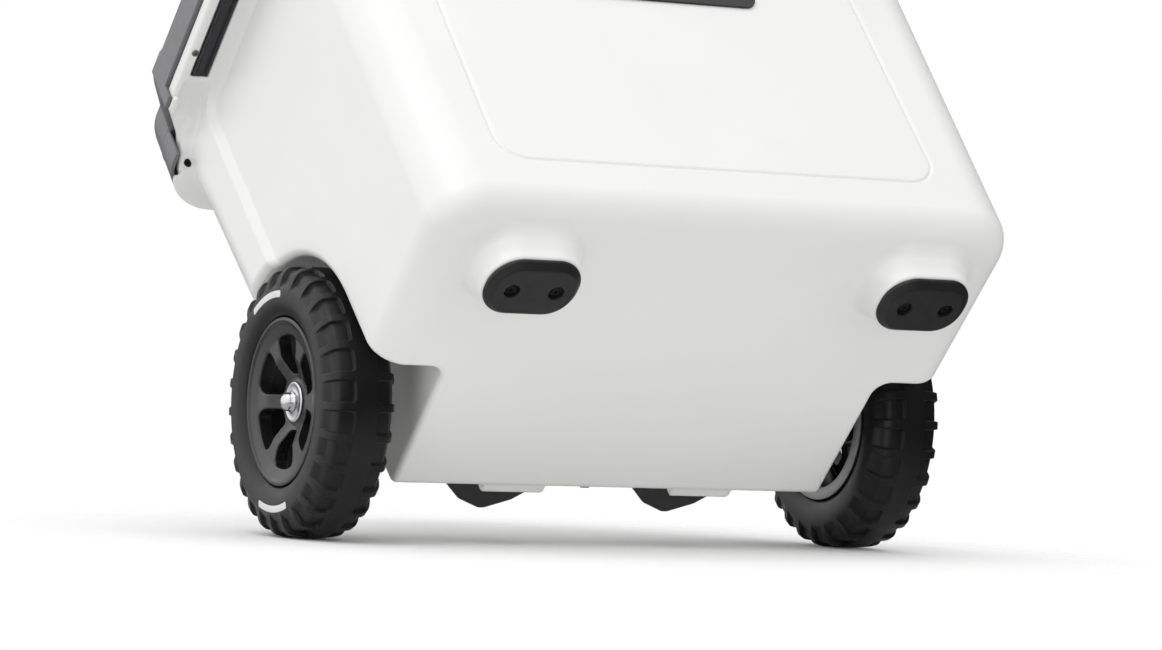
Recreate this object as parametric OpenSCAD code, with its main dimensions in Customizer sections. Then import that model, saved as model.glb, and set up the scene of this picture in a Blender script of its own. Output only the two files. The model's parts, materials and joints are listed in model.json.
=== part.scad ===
// Insulated cooler on two wheels: foam-filled tub, hinged lid, side grips,
// telescoping pull handle, spoked wheels on a through axle.
// +Z up, +Y to the rear, origin on the ground at the centre of the overall outline.

/* [Overall] */
// Depth from the front of the latches to the back of the wheels
overall_d = 526; // [520:1:536]

/* [Body] */
// Width of the tub at its floor
body_w = 620; // [612:1:628]
// Depth of the tub at its floor
body_d = 361; // [358:1:364]
// Height of the tub's underside above the ground
floor_gap = 38; // [36:1:40]
// Height of the top of the outer shell
shell_top = 487; // [480:1:492]
// Radius of the tub's upright corners
corner_r = 46; // [42:1:50]
// Radius of the lower edges at the front and sides
bottom_r = 31; // [26:1:34]
// Radius of the lower edge at the back
back_edge_r = 9; // [8:1:12]
// Outward slope of the front and side walls, per millimetre of height
side_draft = 0.03; // [0.02:0.005:0.035]
// Outward slope of the back wall, per millimetre of height
back_draft = 0.043; // [0.035:0.001:0.045]
// Thickness of the outer shell
skin_t = 6; // [5:0.5:7]
// Thickness of the whole insulated wall
wall_t = 36; // [35:1:37]
// Depth of the recessed side panels
side_recess = 4; // [2:0.5:4]

/* [Wheels] */
// Diameter over the tread lugs
wheel_d = 256; // [250:1:258]
// Width of the tyre
tyre_w = 72; // [68:1:76]
// Distance from the middle of the cooler to the middle of a tyre
wheel_x = 295; // [292:1:297]
// Number of shoulder lugs round a tyre
lug_count = 27; // [21:1:33]
// Number of wheel spokes
spoke_count = 6; // [5:1:8]
// Diameter of the axle
axle_d = 16; // [14:1:16]
// Distance from the middle of the cooler to the inner wall of a wheel well
well_x = 232.5; // [228:0.5:236]
// Gap between the tyre and the arch of its well
arch_gap = 10; // [8:1:12]

/* [Lid] */
// Width of the lid
lid_w = 720; // [716:1:726]
// Height of the top of the lid
lid_top = 547; // [544:1:552]
// Height of the lid's lower rim
lid_bottom = 505; // [504.5:0.5:506]

/* [Handle] */
// Distance from the middle of the cooler to a handle tube
tube_x = 101; // [98:1:106]
// Diameter of the outer handle tubes
tube_d = 25; // [24:1:26]
// Travel of each stage of the handle
handle_travel = 290; // [250:5:300]

/* [Hidden] */

$fn = 64;
hull_fn = 32;
eps = 0.01;
gap = 0.3;
sides = [-1, 1];

white = [0.93, 0.93, 0.91];
lid_grey = [0.47, 0.47, 0.49];
black = [0.13, 0.13, 0.14];
steel = [0.72, 0.72, 0.74];
foam_tan = [0.9, 0.85, 0.6];

// body walls
body_front = -overall_d / 2 + 54.5;
body_back = body_front + body_d;
body_h = shell_top - floor_gap;
half_top = body_w / 2 + side_draft * body_h;
front_top = front_at(shell_top);
back_top = back_at(shell_top);
liner_t = 3;

// wheels
wheel_r = wheel_d / 2;
wheel_y = overall_d / 2 - wheel_r;
tread_r = wheel_r - 2.5;
arch_r = wheel_r + arch_gap;
rim_r = 81;
rim_lip = 76;
hub_r = 21;
spoke_bend = 44;
spoke_turn = 75;
hub_face = wheel_x + 15;
hub_back = wheel_x - 30;
bush_r = 12.5;
washer_r = 19.5;
washer_t = 3;
nut_r = 10;

// feet
foot_x = 206;
foot_y = body_front + 69;
foot_w = 93;
foot_depth = 65;
foot_r = 30;
pad_t = 9;
foot_hole = 22.3;
foot_well_r = 7.5;
foot_screw_r = 2.2;

// top frame and hinge
frame_top = 504;
frame_half = 357;
latch_y = -overall_d / 2 + 9.5;
frame_front = latch_y + 9.5;
frame_back = back_top + 1;
frame_r = 34;
tab_y = body_front + 286;
corner_x = 285;
corner_y = body_front + 353;
lid_corner_r = 54;
corner_screw_x = 315;
corner_screw_y = corner_y + 18;
plug_low = lid_bottom - 12;
hinge_y = body_front + 394;
hinge_z = 483;
barrel_r = 13;
knuckle_r = 8.7;
pin_r = 4;
hinge_in = 166;
hinge_out = 296;
handle_bay = 152;
notch_x = 344.5;
knuckle_w = 20;
ledge_low = 458;
ledge_high = 466;
rear_bay = back_top + 1.5;

// side grips
grip_y = body_front + 182;
grip_len = 146;
grip_in = 330;
grip_w = 17;
grip_t = 9;
grip_screw_x = 352;
grip_screw_y = 44;

// latches
latch_x = 150;
latch_w = 34;
latch_z = 524;
latch_pin_r = 3;
keeper_z = 476;
keeper_screw_x = 20;

// drain
drain_z = 92;
drain_r = 11;
drain_sleeve_r = 14;

// handle
tube_y = body_front + 412;
outer_low = 84;
outer_high = 430;
middle_r = 10.6;
inner_r = 8.2;
tube_wall = 1.5;
grip_half = 122;
grip_low = 456;
grip_high = 480;
bracket_low = 76;
bracket_high = 122;
bracket_screw_x = 40;
bracket_screw_z = bracket_low + 30;
guide_low = 404;
guide_high = 432;
guide_screws = [tube_x - 60, tube_x + 26];
guide_screw_z = guide_low + 14;

// depth position of the outer front and back walls at a height
function front_at(z) = body_front - side_draft * (z - floor_gap);
function back_at(z) = body_back + back_draft * (z - floor_gap);

// upright rounded corner: a drum with a rounded lower edge, for hull()
module corner_drum(x, y, z, r, e) {
    translate([x, y, z + e])
        rotate_extrude($fn = hull_fn)
            intersection() {
                translate([r - e, 0])
                    circle(e, $fn = hull_fn);
                translate([0, -e])
                    square([r, 2 * e]);
            }
}

module corner_top(x, y, z, r) {
    translate([x, y, z - 1])
        cylinder(r = r, h = 1, $fn = hull_fn);
}

// tapered block of the tub, drawn in by t on every wall and raised at the top
module body_block(t, rise = 0) {
    r = max(corner_r - t, 16);
    e = max(bottom_r - t, 10);
    eb = max(back_edge_r - t, 5);
    hull() {
        for (s = sides) {
            corner_drum(s * (body_w / 2 - t - r), body_front + t + r, floor_gap + t, r, e);
            corner_drum(s * (body_w / 2 - t - r), body_back - t - r, floor_gap + t, r, eb);
            corner_top(s * (half_top - t - r), front_top + t + r, shell_top + rise, r);
            corner_top(s * (half_top - t - r), back_top - t - r, shell_top + rise, r);
        }
    }
}

// space for both wheels, drawn outwards by t
module wheel_wells(t) {
    for (s = sides) {
        translate([s * (well_x - t), wheel_y, wheel_r])
            rotate([0, s * 90, 0])
                cylinder(r = arch_r + t, h = 200, $fn = 96);
        translate([s > 0 ? well_x - t : -well_x + t - 200, wheel_y - arch_r - t, -50])
            cube([200, 2 * arch_r + 2 * t, wheel_r + 50]);
    }
}

module tub_form(t, rise = 0) {
    difference() {
        body_block(t, rise);
        wheel_wells(t);
    }
}

// plate with rounded upright corners
module slab(half_w, y0, y1, z0, z1, r) {
    translate([-half_w, y0 + r, z0])
        cube([2 * half_w, y1 - y0 - 2 * r, z1 - z0]);
    translate([-half_w + r, y0, z0])
        cube([2 * half_w - 2 * r, y1 - y0, z1 - z0]);
    for (s = sides)
        for (y = [y0 + r, y1 - r])
            translate([s * (half_w - r), y, z0])
                cylinder(r = r, h = z1 - z0);
}

module box(x0, x1, y0, y1, z0, z1) {
    translate([min(x0, x1), y0, z0])
        cube([abs(x1 - x0), y1 - y0, z1 - z0]);
}

module rod_x(x0, x1, y, z, r) {
    translate([min(x0, x1), y, z])
        rotate([0, 90, 0])
            cylinder(r = r, h = abs(x1 - x0));
}

module rod_y(x, y0, y1, z, r) {
    translate([x, y0, z])
        rotate([-90, 0, 0])
            cylinder(r = r, h = y1 - y0);
}

module rod_z(x, y, z0, z1, r) {
    translate([x, y, z0])
        cylinder(r = r, h = z1 - z0);
}

// one foot's outline, grown by g
module foot_plate(s, g, z0, z1) {
    translate([s * foot_x, 0, 0])
        slab(foot_w / 2 + g, foot_y - foot_depth / 2 - g, foot_y + foot_depth / 2 + g, z0, z1, foot_r + g);
}

module body_shell() {
    drain_y = back_at(drain_z);
    color(white)
        difference() {
            union() {
                difference() {
                    tub_form(0);
                    difference() {
                        tub_form(skin_t, 2);
                        rod_x(-well_x, well_x, wheel_y, wheel_r, axle_d / 2 + 4);
                    }
                }
                for (s = sides) {
                    foot_plate(s, 3, pad_t, floor_gap + skin_t);
                    box(s * 69, s * 135, body_back - 4, body_back + 8, floor_gap + 2, floor_gap + 12);
                }
            }
            for (s = sides) {
                rotate([0, s * atan(side_draft), 0])
                    box(s * (body_w / 2 - side_recess), s * (body_w / 2 + 30),
                        body_front - 40, body_front + 290, -20, 470);
                for (h = sides)
                    rod_z(s * foot_x + h * foot_hole, foot_y, pad_t - 1, pad_t + 24, foot_screw_r);
            }
            rod_x(-well_x - 1, well_x + 1, wheel_y, wheel_r, axle_d / 2 + 0.05);
            rod_y(0, drain_y - 12, drain_y + 8, drain_z, drain_sleeve_r + 0.2);
        }
}

module body_foam() {
    color(foam_tan)
        difference() {
            tub_form(skin_t + 0.2);
            tub_form(wall_t - liner_t - 0.2, 2);
            rod_x(-well_x, well_x, wheel_y, wheel_r, axle_d / 2 + 4.2);
            rod_y(0, body_back - 50, body_back + 20, drain_z, drain_sleeve_r + 0.4);
        }
}

module liner() {
    color(white)
        difference() {
            tub_form(wall_t - liner_t);
            tub_form(wall_t, 2);
            rod_y(0, body_back - 50, body_back + 20, drain_z, drain_sleeve_r + 0.2);
        }
}

// plan of the opening into the tub
module mouth(t, z0, z1) {
    slab(half_top - t, front_top + t, back_top - t, z0, z1, 20);
}

module top_frame() {
    color(white)
        difference() {
            union() {
                slab(frame_half, frame_front, frame_back, shell_top + 0.1, frame_top, frame_r);
                for (s = sides) {
                    // rear ledge under the hinge, with a rounded corner
                    difference() {
                        union() {
                            box(s * handle_bay, s * corner_x, back_top + 0.3, corner_y + lid_corner_r,
                                ledge_low, ledge_high);
                            rod_z(s * corner_x, corner_y, ledge_low, ledge_high, lid_corner_r);
                        }
                        body_block(-0.2);
                        box(s * 200, s * 400, corner_y - 100, corner_y + 3, 400, 480);
                    }
                    // web that carries the hinge, thin where the lid's edge swings by
                    box(s * hinge_in, s * hinge_out, back_top + 0.2, back_top + 7, hinge_z - 7, 500);
                    box(s * hinge_in, s * hinge_out, back_top + 0.2, back_top + 2.4, ledge_low, hinge_z);
                    box(s * hinge_in, s * hinge_out, back_top - 8, back_top + 7, shell_top + 0.1, 500);
                    for (x = [hinge_in, hinge_out - knuckle_w])
                        difference() {
                            union() {
                                rod_x(s * x, s * (x + knuckle_w), hinge_y, hinge_z, knuckle_r);
                                box(s * x, s * (x + knuckle_w), back_top + 0.3, hinge_y,
                                    hinge_z - 7, hinge_z + knuckle_r);
                            }
                            rod_x(s * (x - 1), s * (x + knuckle_w + 1), hinge_y, hinge_z, pin_r + 0.02);
                        }
                }
            }
            // the ledge stands clear of the shell
            for (s = sides)
                box(s * 100, s * 200, back_top - 60, back_top + 0.2, ledge_low - 1, shell_top);
            mouth(wall_t, shell_top - 1, frame_top + 1);
            for (s = sides) {
                // notches for the lid's side tabs, and bevelled rear corners
                box(s * notch_x, s * 380, tab_y - 2, tab_y + 200, shell_top - 1, frame_top + 1);
                translate([s * notch_x, tab_y + 16, shell_top - 1])
                    rotate([0, 0, s * 32])
                        box(0, s * 60, 0, 90, 0, 40);
                // trough at the rear end of each hand grip
                rod_x(s * 312, s * 352, grip_y + grip_len / 2 + 29, shell_top - 33, 40);
                // seat for the grip insert
                box(s * grip_in, s * (grip_in + grip_w), grip_y - grip_len / 2, grip_y + grip_len / 2,
                    shell_top - 1, shell_top + grip_t + 0.2);
                for (h = sides)
                    rod_z(s * grip_screw_x, grip_y + h * grip_screw_y, shell_top - 1, shell_top + 9, 1.6);
                rod_z(s * corner_screw_x, corner_screw_y, shell_top - 1, shell_top + 11, 1.8);
                // bearing holes through the hinge block
                rod_x(s * (hinge_in - 1), s * (hinge_in + 21), hinge_y, hinge_z, pin_r + 0.02);
                rod_x(s * (hinge_out - 21), s * (hinge_out + 1), hinge_y, hinge_z, pin_r + 0.02);
                // the lid's barrel turns here
                rod_x(s * (hinge_in + 20.7), s * (hinge_out - 20.7), hinge_y, hinge_z, barrel_r + 0.5);
            }
        }
}

module foot_pad(s) {
    color(black)
        difference() {
            union() {
                foot_plate(s, 0, 2, pad_t);
                foot_plate(s, -2, 0, 2);
            }
            for (h = sides) {
                rod_z(s * foot_x + h * foot_hole, foot_y, -1, 5, foot_well_r);
                rod_z(s * foot_x + h * foot_hole, foot_y, 4, pad_t + 1, foot_screw_r + 0.5);
            }
        }
}

module foot_screws() {
    color(steel)
        for (s = sides)
            for (h = sides)
                translate([s * foot_x + h * foot_hole, foot_y, 0])
                    difference() {
                        union() {
                            rod_z(0, 0, 2.4, 5, 5);
                            rod_z(0, 0, 5, 30, foot_screw_r);
                        }
                        rod_z(0, 0, 2, 3.8, 1.6);
                    }
}

module side_grip(s) {
    color(black)
        difference() {
            box(s * (grip_in + 0.2), s * (grip_in + grip_w - 0.2), grip_y - grip_len / 2 + 0.2,
                grip_y + grip_len / 2 - 0.2, shell_top - 1.5, shell_top + grip_t);
            for (i = [-5:5])
                rod_x(s * (grip_in + 3), s * (grip_in + grip_w - 3), grip_y + i * 12, shell_top - 3.5, 3);
        }
}

module grip_screws() {
    color(steel)
        for (s = sides)
            for (h = sides)
                translate([s * grip_screw_x, grip_y + h * grip_screw_y, shell_top])
                    difference() {
                        union() {
                            rod_z(0, 0, -1.6, 0, 3.4);
                            rod_z(0, 0, 0, 9, 1.6);
                        }
                        rod_z(0, 0, -2, -0.8, 1.3);
                    }
}

module front_badge() {
    badge_z = 360;
    half_w = 118;
    half_h = 29;
    badge_y = front_at(badge_z);
    color(black)
        translate([0, badge_y, badge_z])
            rotate([90 + atan(side_draft), 0, 0])
                translate([0, 0, 0.2])
                    difference() {
                        slab(half_w, -half_h, half_h, 0, 2.4, 14);
                        slab(half_w - 4, -half_h + 4, half_h - 4, 1.6, 3, 10);
                    }
}

// hook on the frame's front that a latch is stretched over
module latch_keepers() {
    color(black)
        for (s = sides)
            translate([s * latch_x, 0, 0])
                difference() {
                    union() {
                        box(-26, 26, latch_y + 3.5, front_top + 2, keeper_z - 13, shell_top - 0.2);
                        box(-9, 9, latch_y - 9, latch_y + 4, keeper_z - 5, keeper_z + 5);
                    }
                    translate([0, body_front + side_draft * floor_gap, 0])
                        rotate([atan(side_draft), 0, 0])
                            box(-40, 40, -0.2, 40, 300, shell_top + 20);
                    for (h = sides)
                        rod_y(h * keeper_screw_x, latch_y, front_top + 8, keeper_z - 4, 2);
                }
}

module keeper_screws() {
    color(steel)
        for (s = sides)
            for (h = sides)
                translate([s * latch_x + h * keeper_screw_x, latch_y + 3.5, keeper_z - 4])
                    difference() {
                        union() {
                            rod_y(0, -1.8, -0.1, 0, 4);
                            rod_y(0, -0.2, 20, 0, 1.95);
                        }
                        rod_y(0, -3, -0.9, 0, 1.4);
                    }
}

module axle() {
    end_x = hub_face + washer_t + 7;
    color(steel)
        rod_x(-end_x, end_x, wheel_y, wheel_r, axle_d / 2);
}

module wheel_spacers() {
    color(black)
        for (s = sides)
            difference() {
                rod_x(s * (well_x + 0.1), s * (hub_back - gap), wheel_y, wheel_r, 15);
                rod_x(s * (well_x - 1), s * hub_back, wheel_y, wheel_r, axle_d / 2 + 0.05);
            }
}

module axle_washers() {
    color(steel)
        for (s = sides)
            difference() {
                rod_x(s * (hub_face + gap), s * (hub_face + washer_t), wheel_y, wheel_r, washer_r);
                rod_x(s * hub_face, s * (hub_face + washer_t + 1), wheel_y, wheel_r, axle_d / 2 + 0.05);
            }
}

module axle_nuts() {
    nut_x = hub_face + washer_t + 0.1;
    color(steel)
        for (s = sides)
            translate([s * nut_x, wheel_y, wheel_r])
                rotate([0, s * 90, 0])
                    difference() {
                        rotate_extrude()
                            intersection() {
                                square([nut_r, 12]);
                                circle(13.5);
                            }
                        translate([0, 0, -1])
                            cylinder(r = axle_d / 2 + 0.05, h = 8);
                    }
}

// toothed ring of shoulder lugs, along X from x0 to x1
module lug_ring(x0, x1, r_in) {
    pitch = 360 / lug_count;
    points = [for (i = [0:lug_count - 1])
        for (c = [[0, tread_r - 2], [0.18, wheel_r], [0.5, wheel_r], [0.68, tread_r - 2]])
            [c[1] * cos((i + c[0]) * pitch), c[1] * sin((i + c[0]) * pitch)]];
    translate([min(x0, x1), 0, 0])
        rotate([0, 90, 0])
            linear_extrude(abs(x1 - x0))
                difference() {
                    polygon(points);
                    circle(r_in);
                }
}

module tyre(s) {
    h = tyre_w / 2;
    color(black)
        translate([s * wheel_x, wheel_y, wheel_r]) {
            rotate([0, 90, 0])
                rotate_extrude($fn = 96)
                    polygon([
                        [rim_r, -h + 7], [rim_r + 8, -h + 2], [rim_r + 24, -h + 1],
                        [tread_r - 12, -h + 3], [tread_r - 3, -h + 10], [tread_r, -h + 20],
                        [tread_r, h - 20], [tread_r - 3, h - 10], [tread_r - 12, h - 3],
                        [rim_r + 24, h - 1], [rim_r + 8, h - 2], [rim_r, h - 7]
                    ]);
            lug_ring(-h + 4, -h + 20, tread_r - 12);
            lug_ring(h - 20, h - 4, tread_r - 12);
        }
}

module rim(s) {
    h = tyre_w / 2;
    color(black)
        translate([s * wheel_x, wheel_y, wheel_r])
            difference() {
                union() {
                    // barrel that carries the tyre
                    rotate([0, s * 90, 0])
                        rotate_extrude($fn = 96)
                            polygon([
                                [rim_r - 13, -h + 3], [rim_lip + 4, -h + 3], [rim_r - 0.2, -h + 8],
                                [rim_r - 0.2, h - 8], [rim_lip + 4, h - 3], [rim_lip - 3, h - 3],
                                [rim_r - 13, h - 10]
                            ]);
                    rod_x(s * (hub_back - wheel_x), s * (hub_face - wheel_x), 0, 0, hub_r);
                    // dished disc, cut into spokes
                    difference() {
                        rotate([0, s * 90, 0])
                            rotate_extrude($fn = 96)
                                polygon([
                                    [bush_r, -8], [bush_r, 13], [hub_r, 13], [spoke_bend, 23],
                                    [rim_r - 12, 25], [rim_r - 12, 8], [spoke_bend, 6], [hub_r + 2, -8]
                                ]);
                        for (i = [0:spoke_count - 1])
                            rotate([i * 360 / spoke_count + spoke_turn, 0, 0])
                                window();
                    }
                }
                rod_x(-h - 10, h + 10, 0, 0, bush_r + 0.02);
            }
}

// opening between two spokes, along +Y before turning
module window() {
    width = 40;
    rotate([0, 90, 0])
        translate([0, 0, -40])
            linear_extrude(80)
                polygon([
                    [-9, 30], [9, 30], [width / 2, 50], [width / 2 - 2, 61],
                    [width / 4, 65], [-width / 4, 65], [-width / 2 + 2, 61], [-width / 2, 50]
                ]);
}

module hub_bush(s) {
    color([0.85, 0.85, 0.8])
        difference() {
            rod_x(s * hub_back, s * hub_face, wheel_y, wheel_r, bush_r);
            rod_x(s * (hub_back - 1), s * (hub_face + 1), wheel_y, wheel_r, axle_d / 2 + 0.05);
        }
}

module hinge_pins() {
    color(steel)
        for (s = sides)
            rod_x(s * hinge_in, s * hinge_out, hinge_y, hinge_z, pin_r);
}

module hinge_screws() {
    color(steel)
        for (s = sides)
            translate([s * corner_screw_x, corner_screw_y, shell_top])
                difference() {
                    union() {
                        rod_z(0, 0, -1.5, 0, 4);
                        rod_z(0, 0, 0, 11, 1.8);
                    }
                    rod_z(0, 0, -2, -0.7, 1.5);
                }
}

// plan of the lid, drawn in by t
module lid_plan(t) {
    half = lid_w / 2 - t;
    back = corner_y + lid_corner_r - t;
    difference() {
        union() {
            translate([-half + frame_r, frame_front - 4 + t])
                square([2 * half - 2 * frame_r, 100]);
            for (s = sides)
                translate([s * (half - frame_r), frame_front - 4 + t + frame_r])
                    circle(frame_r);
            polygon([
                [-half, frame_front + frame_r - 4 + t], [half, frame_front + frame_r - 4 + t],
                [half, tab_y + 16 - t], [corner_x + lid_corner_r - t, corner_y - 12],
                [corner_x + lid_corner_r - t, corner_y], [corner_x, back],
                [-corner_x, back], [-corner_x - lid_corner_r + t, corner_y],
                [-corner_x - lid_corner_r + t, corner_y - 12], [-half, tab_y + 16 - t]
            ]);
            for (s = sides)
                translate([s * corner_x, corner_y])
                    circle(lid_corner_r - t);
        }
        translate([-handle_bay - t, rear_bay - t])
            square([2 * handle_bay + 2 * t, 100]);
    }
}

module lid_slice(t, z0, z1) {
    translate([0, 0, z0])
        linear_extrude(z1 - z0)
            lid_plan(t);
}

module lid_shell() {
    ear_in = latch_w / 2 + 0.4;
    color(lid_grey)
        difference() {
            union() {
                lid_slice(0, lid_bottom, lid_top - 10);
                lid_slice(5, lid_top - 10 - eps, lid_top - 5);
                lid_slice(12, lid_top - 5 - eps, lid_top);
                for (s = sides) {
                    // tab that reaches down beside the frame
                    box(s * 345, s * lid_w / 2, tab_y, tab_y + 16, shell_top + 1, lid_bottom + 10);
                    // rear skirt with its rounded corner, down to the hinge
                    difference() {
                        union() {
                            box(s * handle_bay, s * corner_x, hinge_y, corner_y + lid_corner_r, hinge_z,
                                lid_bottom + eps);
                            rod_z(s * corner_x, corner_y, hinge_z - barrel_r, lid_bottom + eps,
                                lid_corner_r);
                        }
                        rod_z(s * corner_x, corner_y, 400, lid_bottom, lid_corner_r - 4);
                        box(s * 200, s * 400, corner_y - 100, corner_y - 10, 400, lid_bottom);
                        box(s * 200, s * corner_x, corner_y - 20, hinge_y, 400, lid_bottom);
                        // rounded lower edge that turns about the hinge
                        difference() {
                            box(s * 100, s * 400, hinge_y, hinge_y + 20, 400, hinge_z);
                            rod_x(s * 90, s * 410, hinge_y, hinge_z, barrel_r);
                        }
                    }
                    rod_x(s * (hinge_in + 21), s * (hinge_out - 21), hinge_y, hinge_z, barrel_r);
                    box(s * (hinge_in + 21), s * (hinge_out - 21), hinge_y, hinge_y + barrel_r,
                        hinge_z, lid_bottom + eps);
                    // ears that carry the latch pin
                    for (h = sides)
                        translate([s * latch_x, 0, 0]) {
                            box(h * ear_in, h * (ear_in + 7), latch_y, frame_front,
                                latch_z - 7, latch_z + 7);
                            rod_x(h * ear_in, h * (ear_in + 7), latch_y, latch_z, 7);
                        }
                }
            }
            // hollow for the foam, closed by the lid liner
            lid_cavity(0);
            for (s = sides) {
                // the hinge works inside the skirt
                for (x = [hinge_in - 16, hinge_out - 21]) {
                    box(s * x, s * (x + 37), hinge_y - 30, hinge_y + barrel_r - 4, 400, lid_bottom + 3);
                    rod_x(s * x, s * (x + 37), hinge_y, hinge_z, barrel_r - 3.7);
                }
                box(s * (handle_bay + 4), s * corner_x, back_top - 30, hinge_y - barrel_r, 400,
                    lid_bottom + 2);
                rod_x(s * (hinge_in - 20), s * (hinge_out + 20), hinge_y, hinge_z, pin_r + 0.05);
                translate([s * latch_x, 0, 0]) {
                    rod_x(-30, 30, latch_y, latch_z, latch_pin_r + 0.05);
                    box(-ear_in, ear_in, latch_y - 20, frame_front - 2, latch_z - 7.5, lid_top + 1);
                }
            }
        }
}

// foam space inside the lid, drawn in by t
module lid_cavity(t) {
    slab(lid_w / 2 - 14 - t, frame_front + 8 + t, tab_y + 10 - t, lid_bottom - 1, lid_top - 8 - t, 24 - t);
    slab(300 - t, frame_front + 40, back_top - 18 - t, lid_bottom - 1, lid_top - 8 - t, 24 - t);
}

module lid_foam() {
    color(foam_tan)
        union() {
            intersection() {
                lid_cavity(0.2);
                box(-400, 400, -400, 400, lid_bottom + 3.2, lid_top);
            }
            mouth(wall_t + 12 + liner_t + 0.2, plug_low + liner_t + 0.2, lid_bottom + 4);
        }
}

module lid_liner() {
    color(white)
        difference() {
            union() {
                intersection() {
                    lid_cavity(0.2);
                    box(-400, 400, -400, 400, lid_bottom + 0.2, lid_bottom + 3);
                }
                mouth(wall_t + 12, plug_low, lid_bottom + 1);
            }
            mouth(wall_t + 12 + liner_t, plug_low + liner_t, lid_bottom + 4);
        }
}

module lid_gasket() {
    color(black)
        difference() {
            mouth(wall_t - 9, frame_top + gap, lid_bottom + 0.1);
            mouth(wall_t - 3, frame_top, lid_bottom + 1);
        }
}

module latch_pins() {
    reach = latch_w / 2 + 7.4;
    color(steel)
        for (s = sides)
            translate([s * latch_x, 0, 0])
                rod_x(-reach, reach, latch_y, latch_z, latch_pin_r);
}

module latch(s) {
    w = latch_w / 2;
    color(black)
        translate([s * latch_x, 0, 0])
            difference() {
                union() {
                    rod_x(-w, w, latch_y, latch_z, 6.5);
                    box(-w, w, latch_y - 6.5, latch_y + 0.5, keeper_z - 22, latch_z);
                    box(-w - 12, w + 12, latch_y - 7.5, latch_y + 0.5, keeper_z - 34, keeper_z - 18);
                    rod_x(-w - 12, w + 12, latch_y - 5, keeper_z - 34, 4.5);
                }
                rod_x(-w - 1, w + 1, latch_y, latch_z, latch_pin_r + 0.05);
                box(-11.5, 11.5, latch_y - 20, latch_y + 5, keeper_z - 8, keeper_z + 8);
            }
}

module drain_fitting() {
    out_y = back_at(drain_z);
    in_y = out_y - wall_t;
    color(black)
        difference() {
            union() {
                rod_y(0, out_y + 0.6, out_y + 4, drain_z, 21);
                rod_y(0, in_y - 5, out_y + 4, drain_z, drain_sleeve_r);
            }
            rod_y(0, in_y - 10, out_y + 10, drain_z, drain_r);
        }
}

module drain_plug() {
    out_y = back_at(drain_z);
    color(black)
        difference() {
            union() {
                rod_y(0, out_y - 20, out_y + 6, drain_z, drain_r - 0.06);
                rod_y(0, out_y + 5, out_y + 19, drain_z, 16);
                box(-4.5, 4.5, out_y + 18, out_y + 33, drain_z - 16, drain_z + 16);
            }
            rod_y(0, out_y - 21, out_y - 4, drain_z, drain_r - 3);
        }
}

module drain_seal() {
    out_y = back_at(drain_z);
    color(black)
        difference() {
            rod_y(0, out_y + 4.05, out_y + 4.95, drain_z, drain_sleeve_r);
            rod_y(0, out_y + 3, out_y + 6, drain_z, drain_r + 0.3);
        }
}

// foot of a handle tube: tapers away from the wall in plan
module lower_bracket(s) {
    wall_y = back_at(bracket_low) + 2.6;
    nose = tube_y + tube_d / 2 + 3.5 - wall_y;
    color(black)
        translate([s * tube_x, wall_y, bracket_low])
            difference() {
                linear_extrude(bracket_high - bracket_low)
                    polygon([
                        [-53, 0], [53, 0], [53, 41], [22, nose - 7], [14, nose], [-14, nose],
                        [-22, nose - 7], [-53, 41]
                    ]);
                rod_z(0, tube_y - wall_y, outer_low - bracket_low, 60, tube_d / 2 + 0.1);
                for (h = sides) {
                    rod_y(h * bracket_screw_x, 8, 60, bracket_screw_z - bracket_low, 6);
                    rod_y(h * bracket_screw_x, -5, 60, bracket_screw_z - bracket_low, 2.6);
                }
            }
}

module upper_bracket() {
    wall_y = back_at(guide_low) + 2.6;
    color(black)
        difference() {
            union() {
                box(-tube_x - 34, tube_x + 34, wall_y, wall_y + 8, guide_low, guide_high);
                for (s = sides) {
                    box(s * (tube_x - 17), s * (tube_x + 17), wall_y, tube_y, guide_low, guide_high);
                    rod_z(s * tube_x, tube_y, guide_low, guide_high, 17);
                }
            }
            for (s = sides) {
                rod_z(s * tube_x, tube_y, guide_low - 1, guide_high - 4, tube_d / 2 + 0.1);
                rod_z(s * tube_x, tube_y, guide_low - 1, guide_high + 1, middle_r + 0.06);
                for (x = guide_screws)
                    rod_y(s * x, wall_y - 1, wall_y + 20, guide_screw_z, 2.6);
            }
        }
}

module bracket_screws() {
    low_y = back_at(bracket_low) + 2.6;
    high_y = back_at(guide_low) + 2.6;
    color(steel)
        for (s = sides) {
            for (h = sides)
                difference() {
                    rod_y(s * tube_x + h * bracket_screw_x, low_y + 8.1, low_y + 11, bracket_screw_z, 5);
                    rod_y(s * tube_x + h * bracket_screw_x, low_y + 9.8, low_y + 12, bracket_screw_z, 1.8);
                }
            for (x = guide_screws)
                difference() {
                    rod_y(s * x, high_y + 8.1, high_y + 11, guide_screw_z, 5);
                    rod_y(s * x, high_y + 9.8, high_y + 12, guide_screw_z, 1.8);
                }
        }
}

module outer_tube(s) {
    color(steel)
        difference() {
            rod_z(s * tube_x, tube_y, outer_low, guide_high - 4, tube_d / 2);
            rod_z(s * tube_x, tube_y, outer_low - 1, outer_high, tube_d / 2 - tube_wall);
        }
}

module middle_tube(s) {
    color(steel)
        difference() {
            rod_z(s * tube_x, tube_y, outer_low + 3, guide_high + 4, middle_r);
            rod_z(s * tube_x, tube_y, outer_low, guide_high + 10, middle_r - tube_wall);
        }
}

module middle_collars() {
    color(black)
        for (s = sides)
            difference() {
                rod_z(s * tube_x, tube_y, guide_high + 0.4, guide_high + 12, 14);
                rod_z(s * tube_x, tube_y, guide_high - 1, guide_high + 4.1, middle_r + 0.05);
                rod_z(s * tube_x, tube_y, guide_high - 1, guide_high + 20, inner_r + 0.06);
            }
}

module inner_tube(s) {
    color(steel)
        difference() {
            rod_z(s * tube_x, tube_y, outer_low + 5, grip_low + 8, inner_r);
            rod_z(s * tube_x, tube_y, outer_low, grip_low + 2, inner_r - tube_wall);
        }
}

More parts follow.
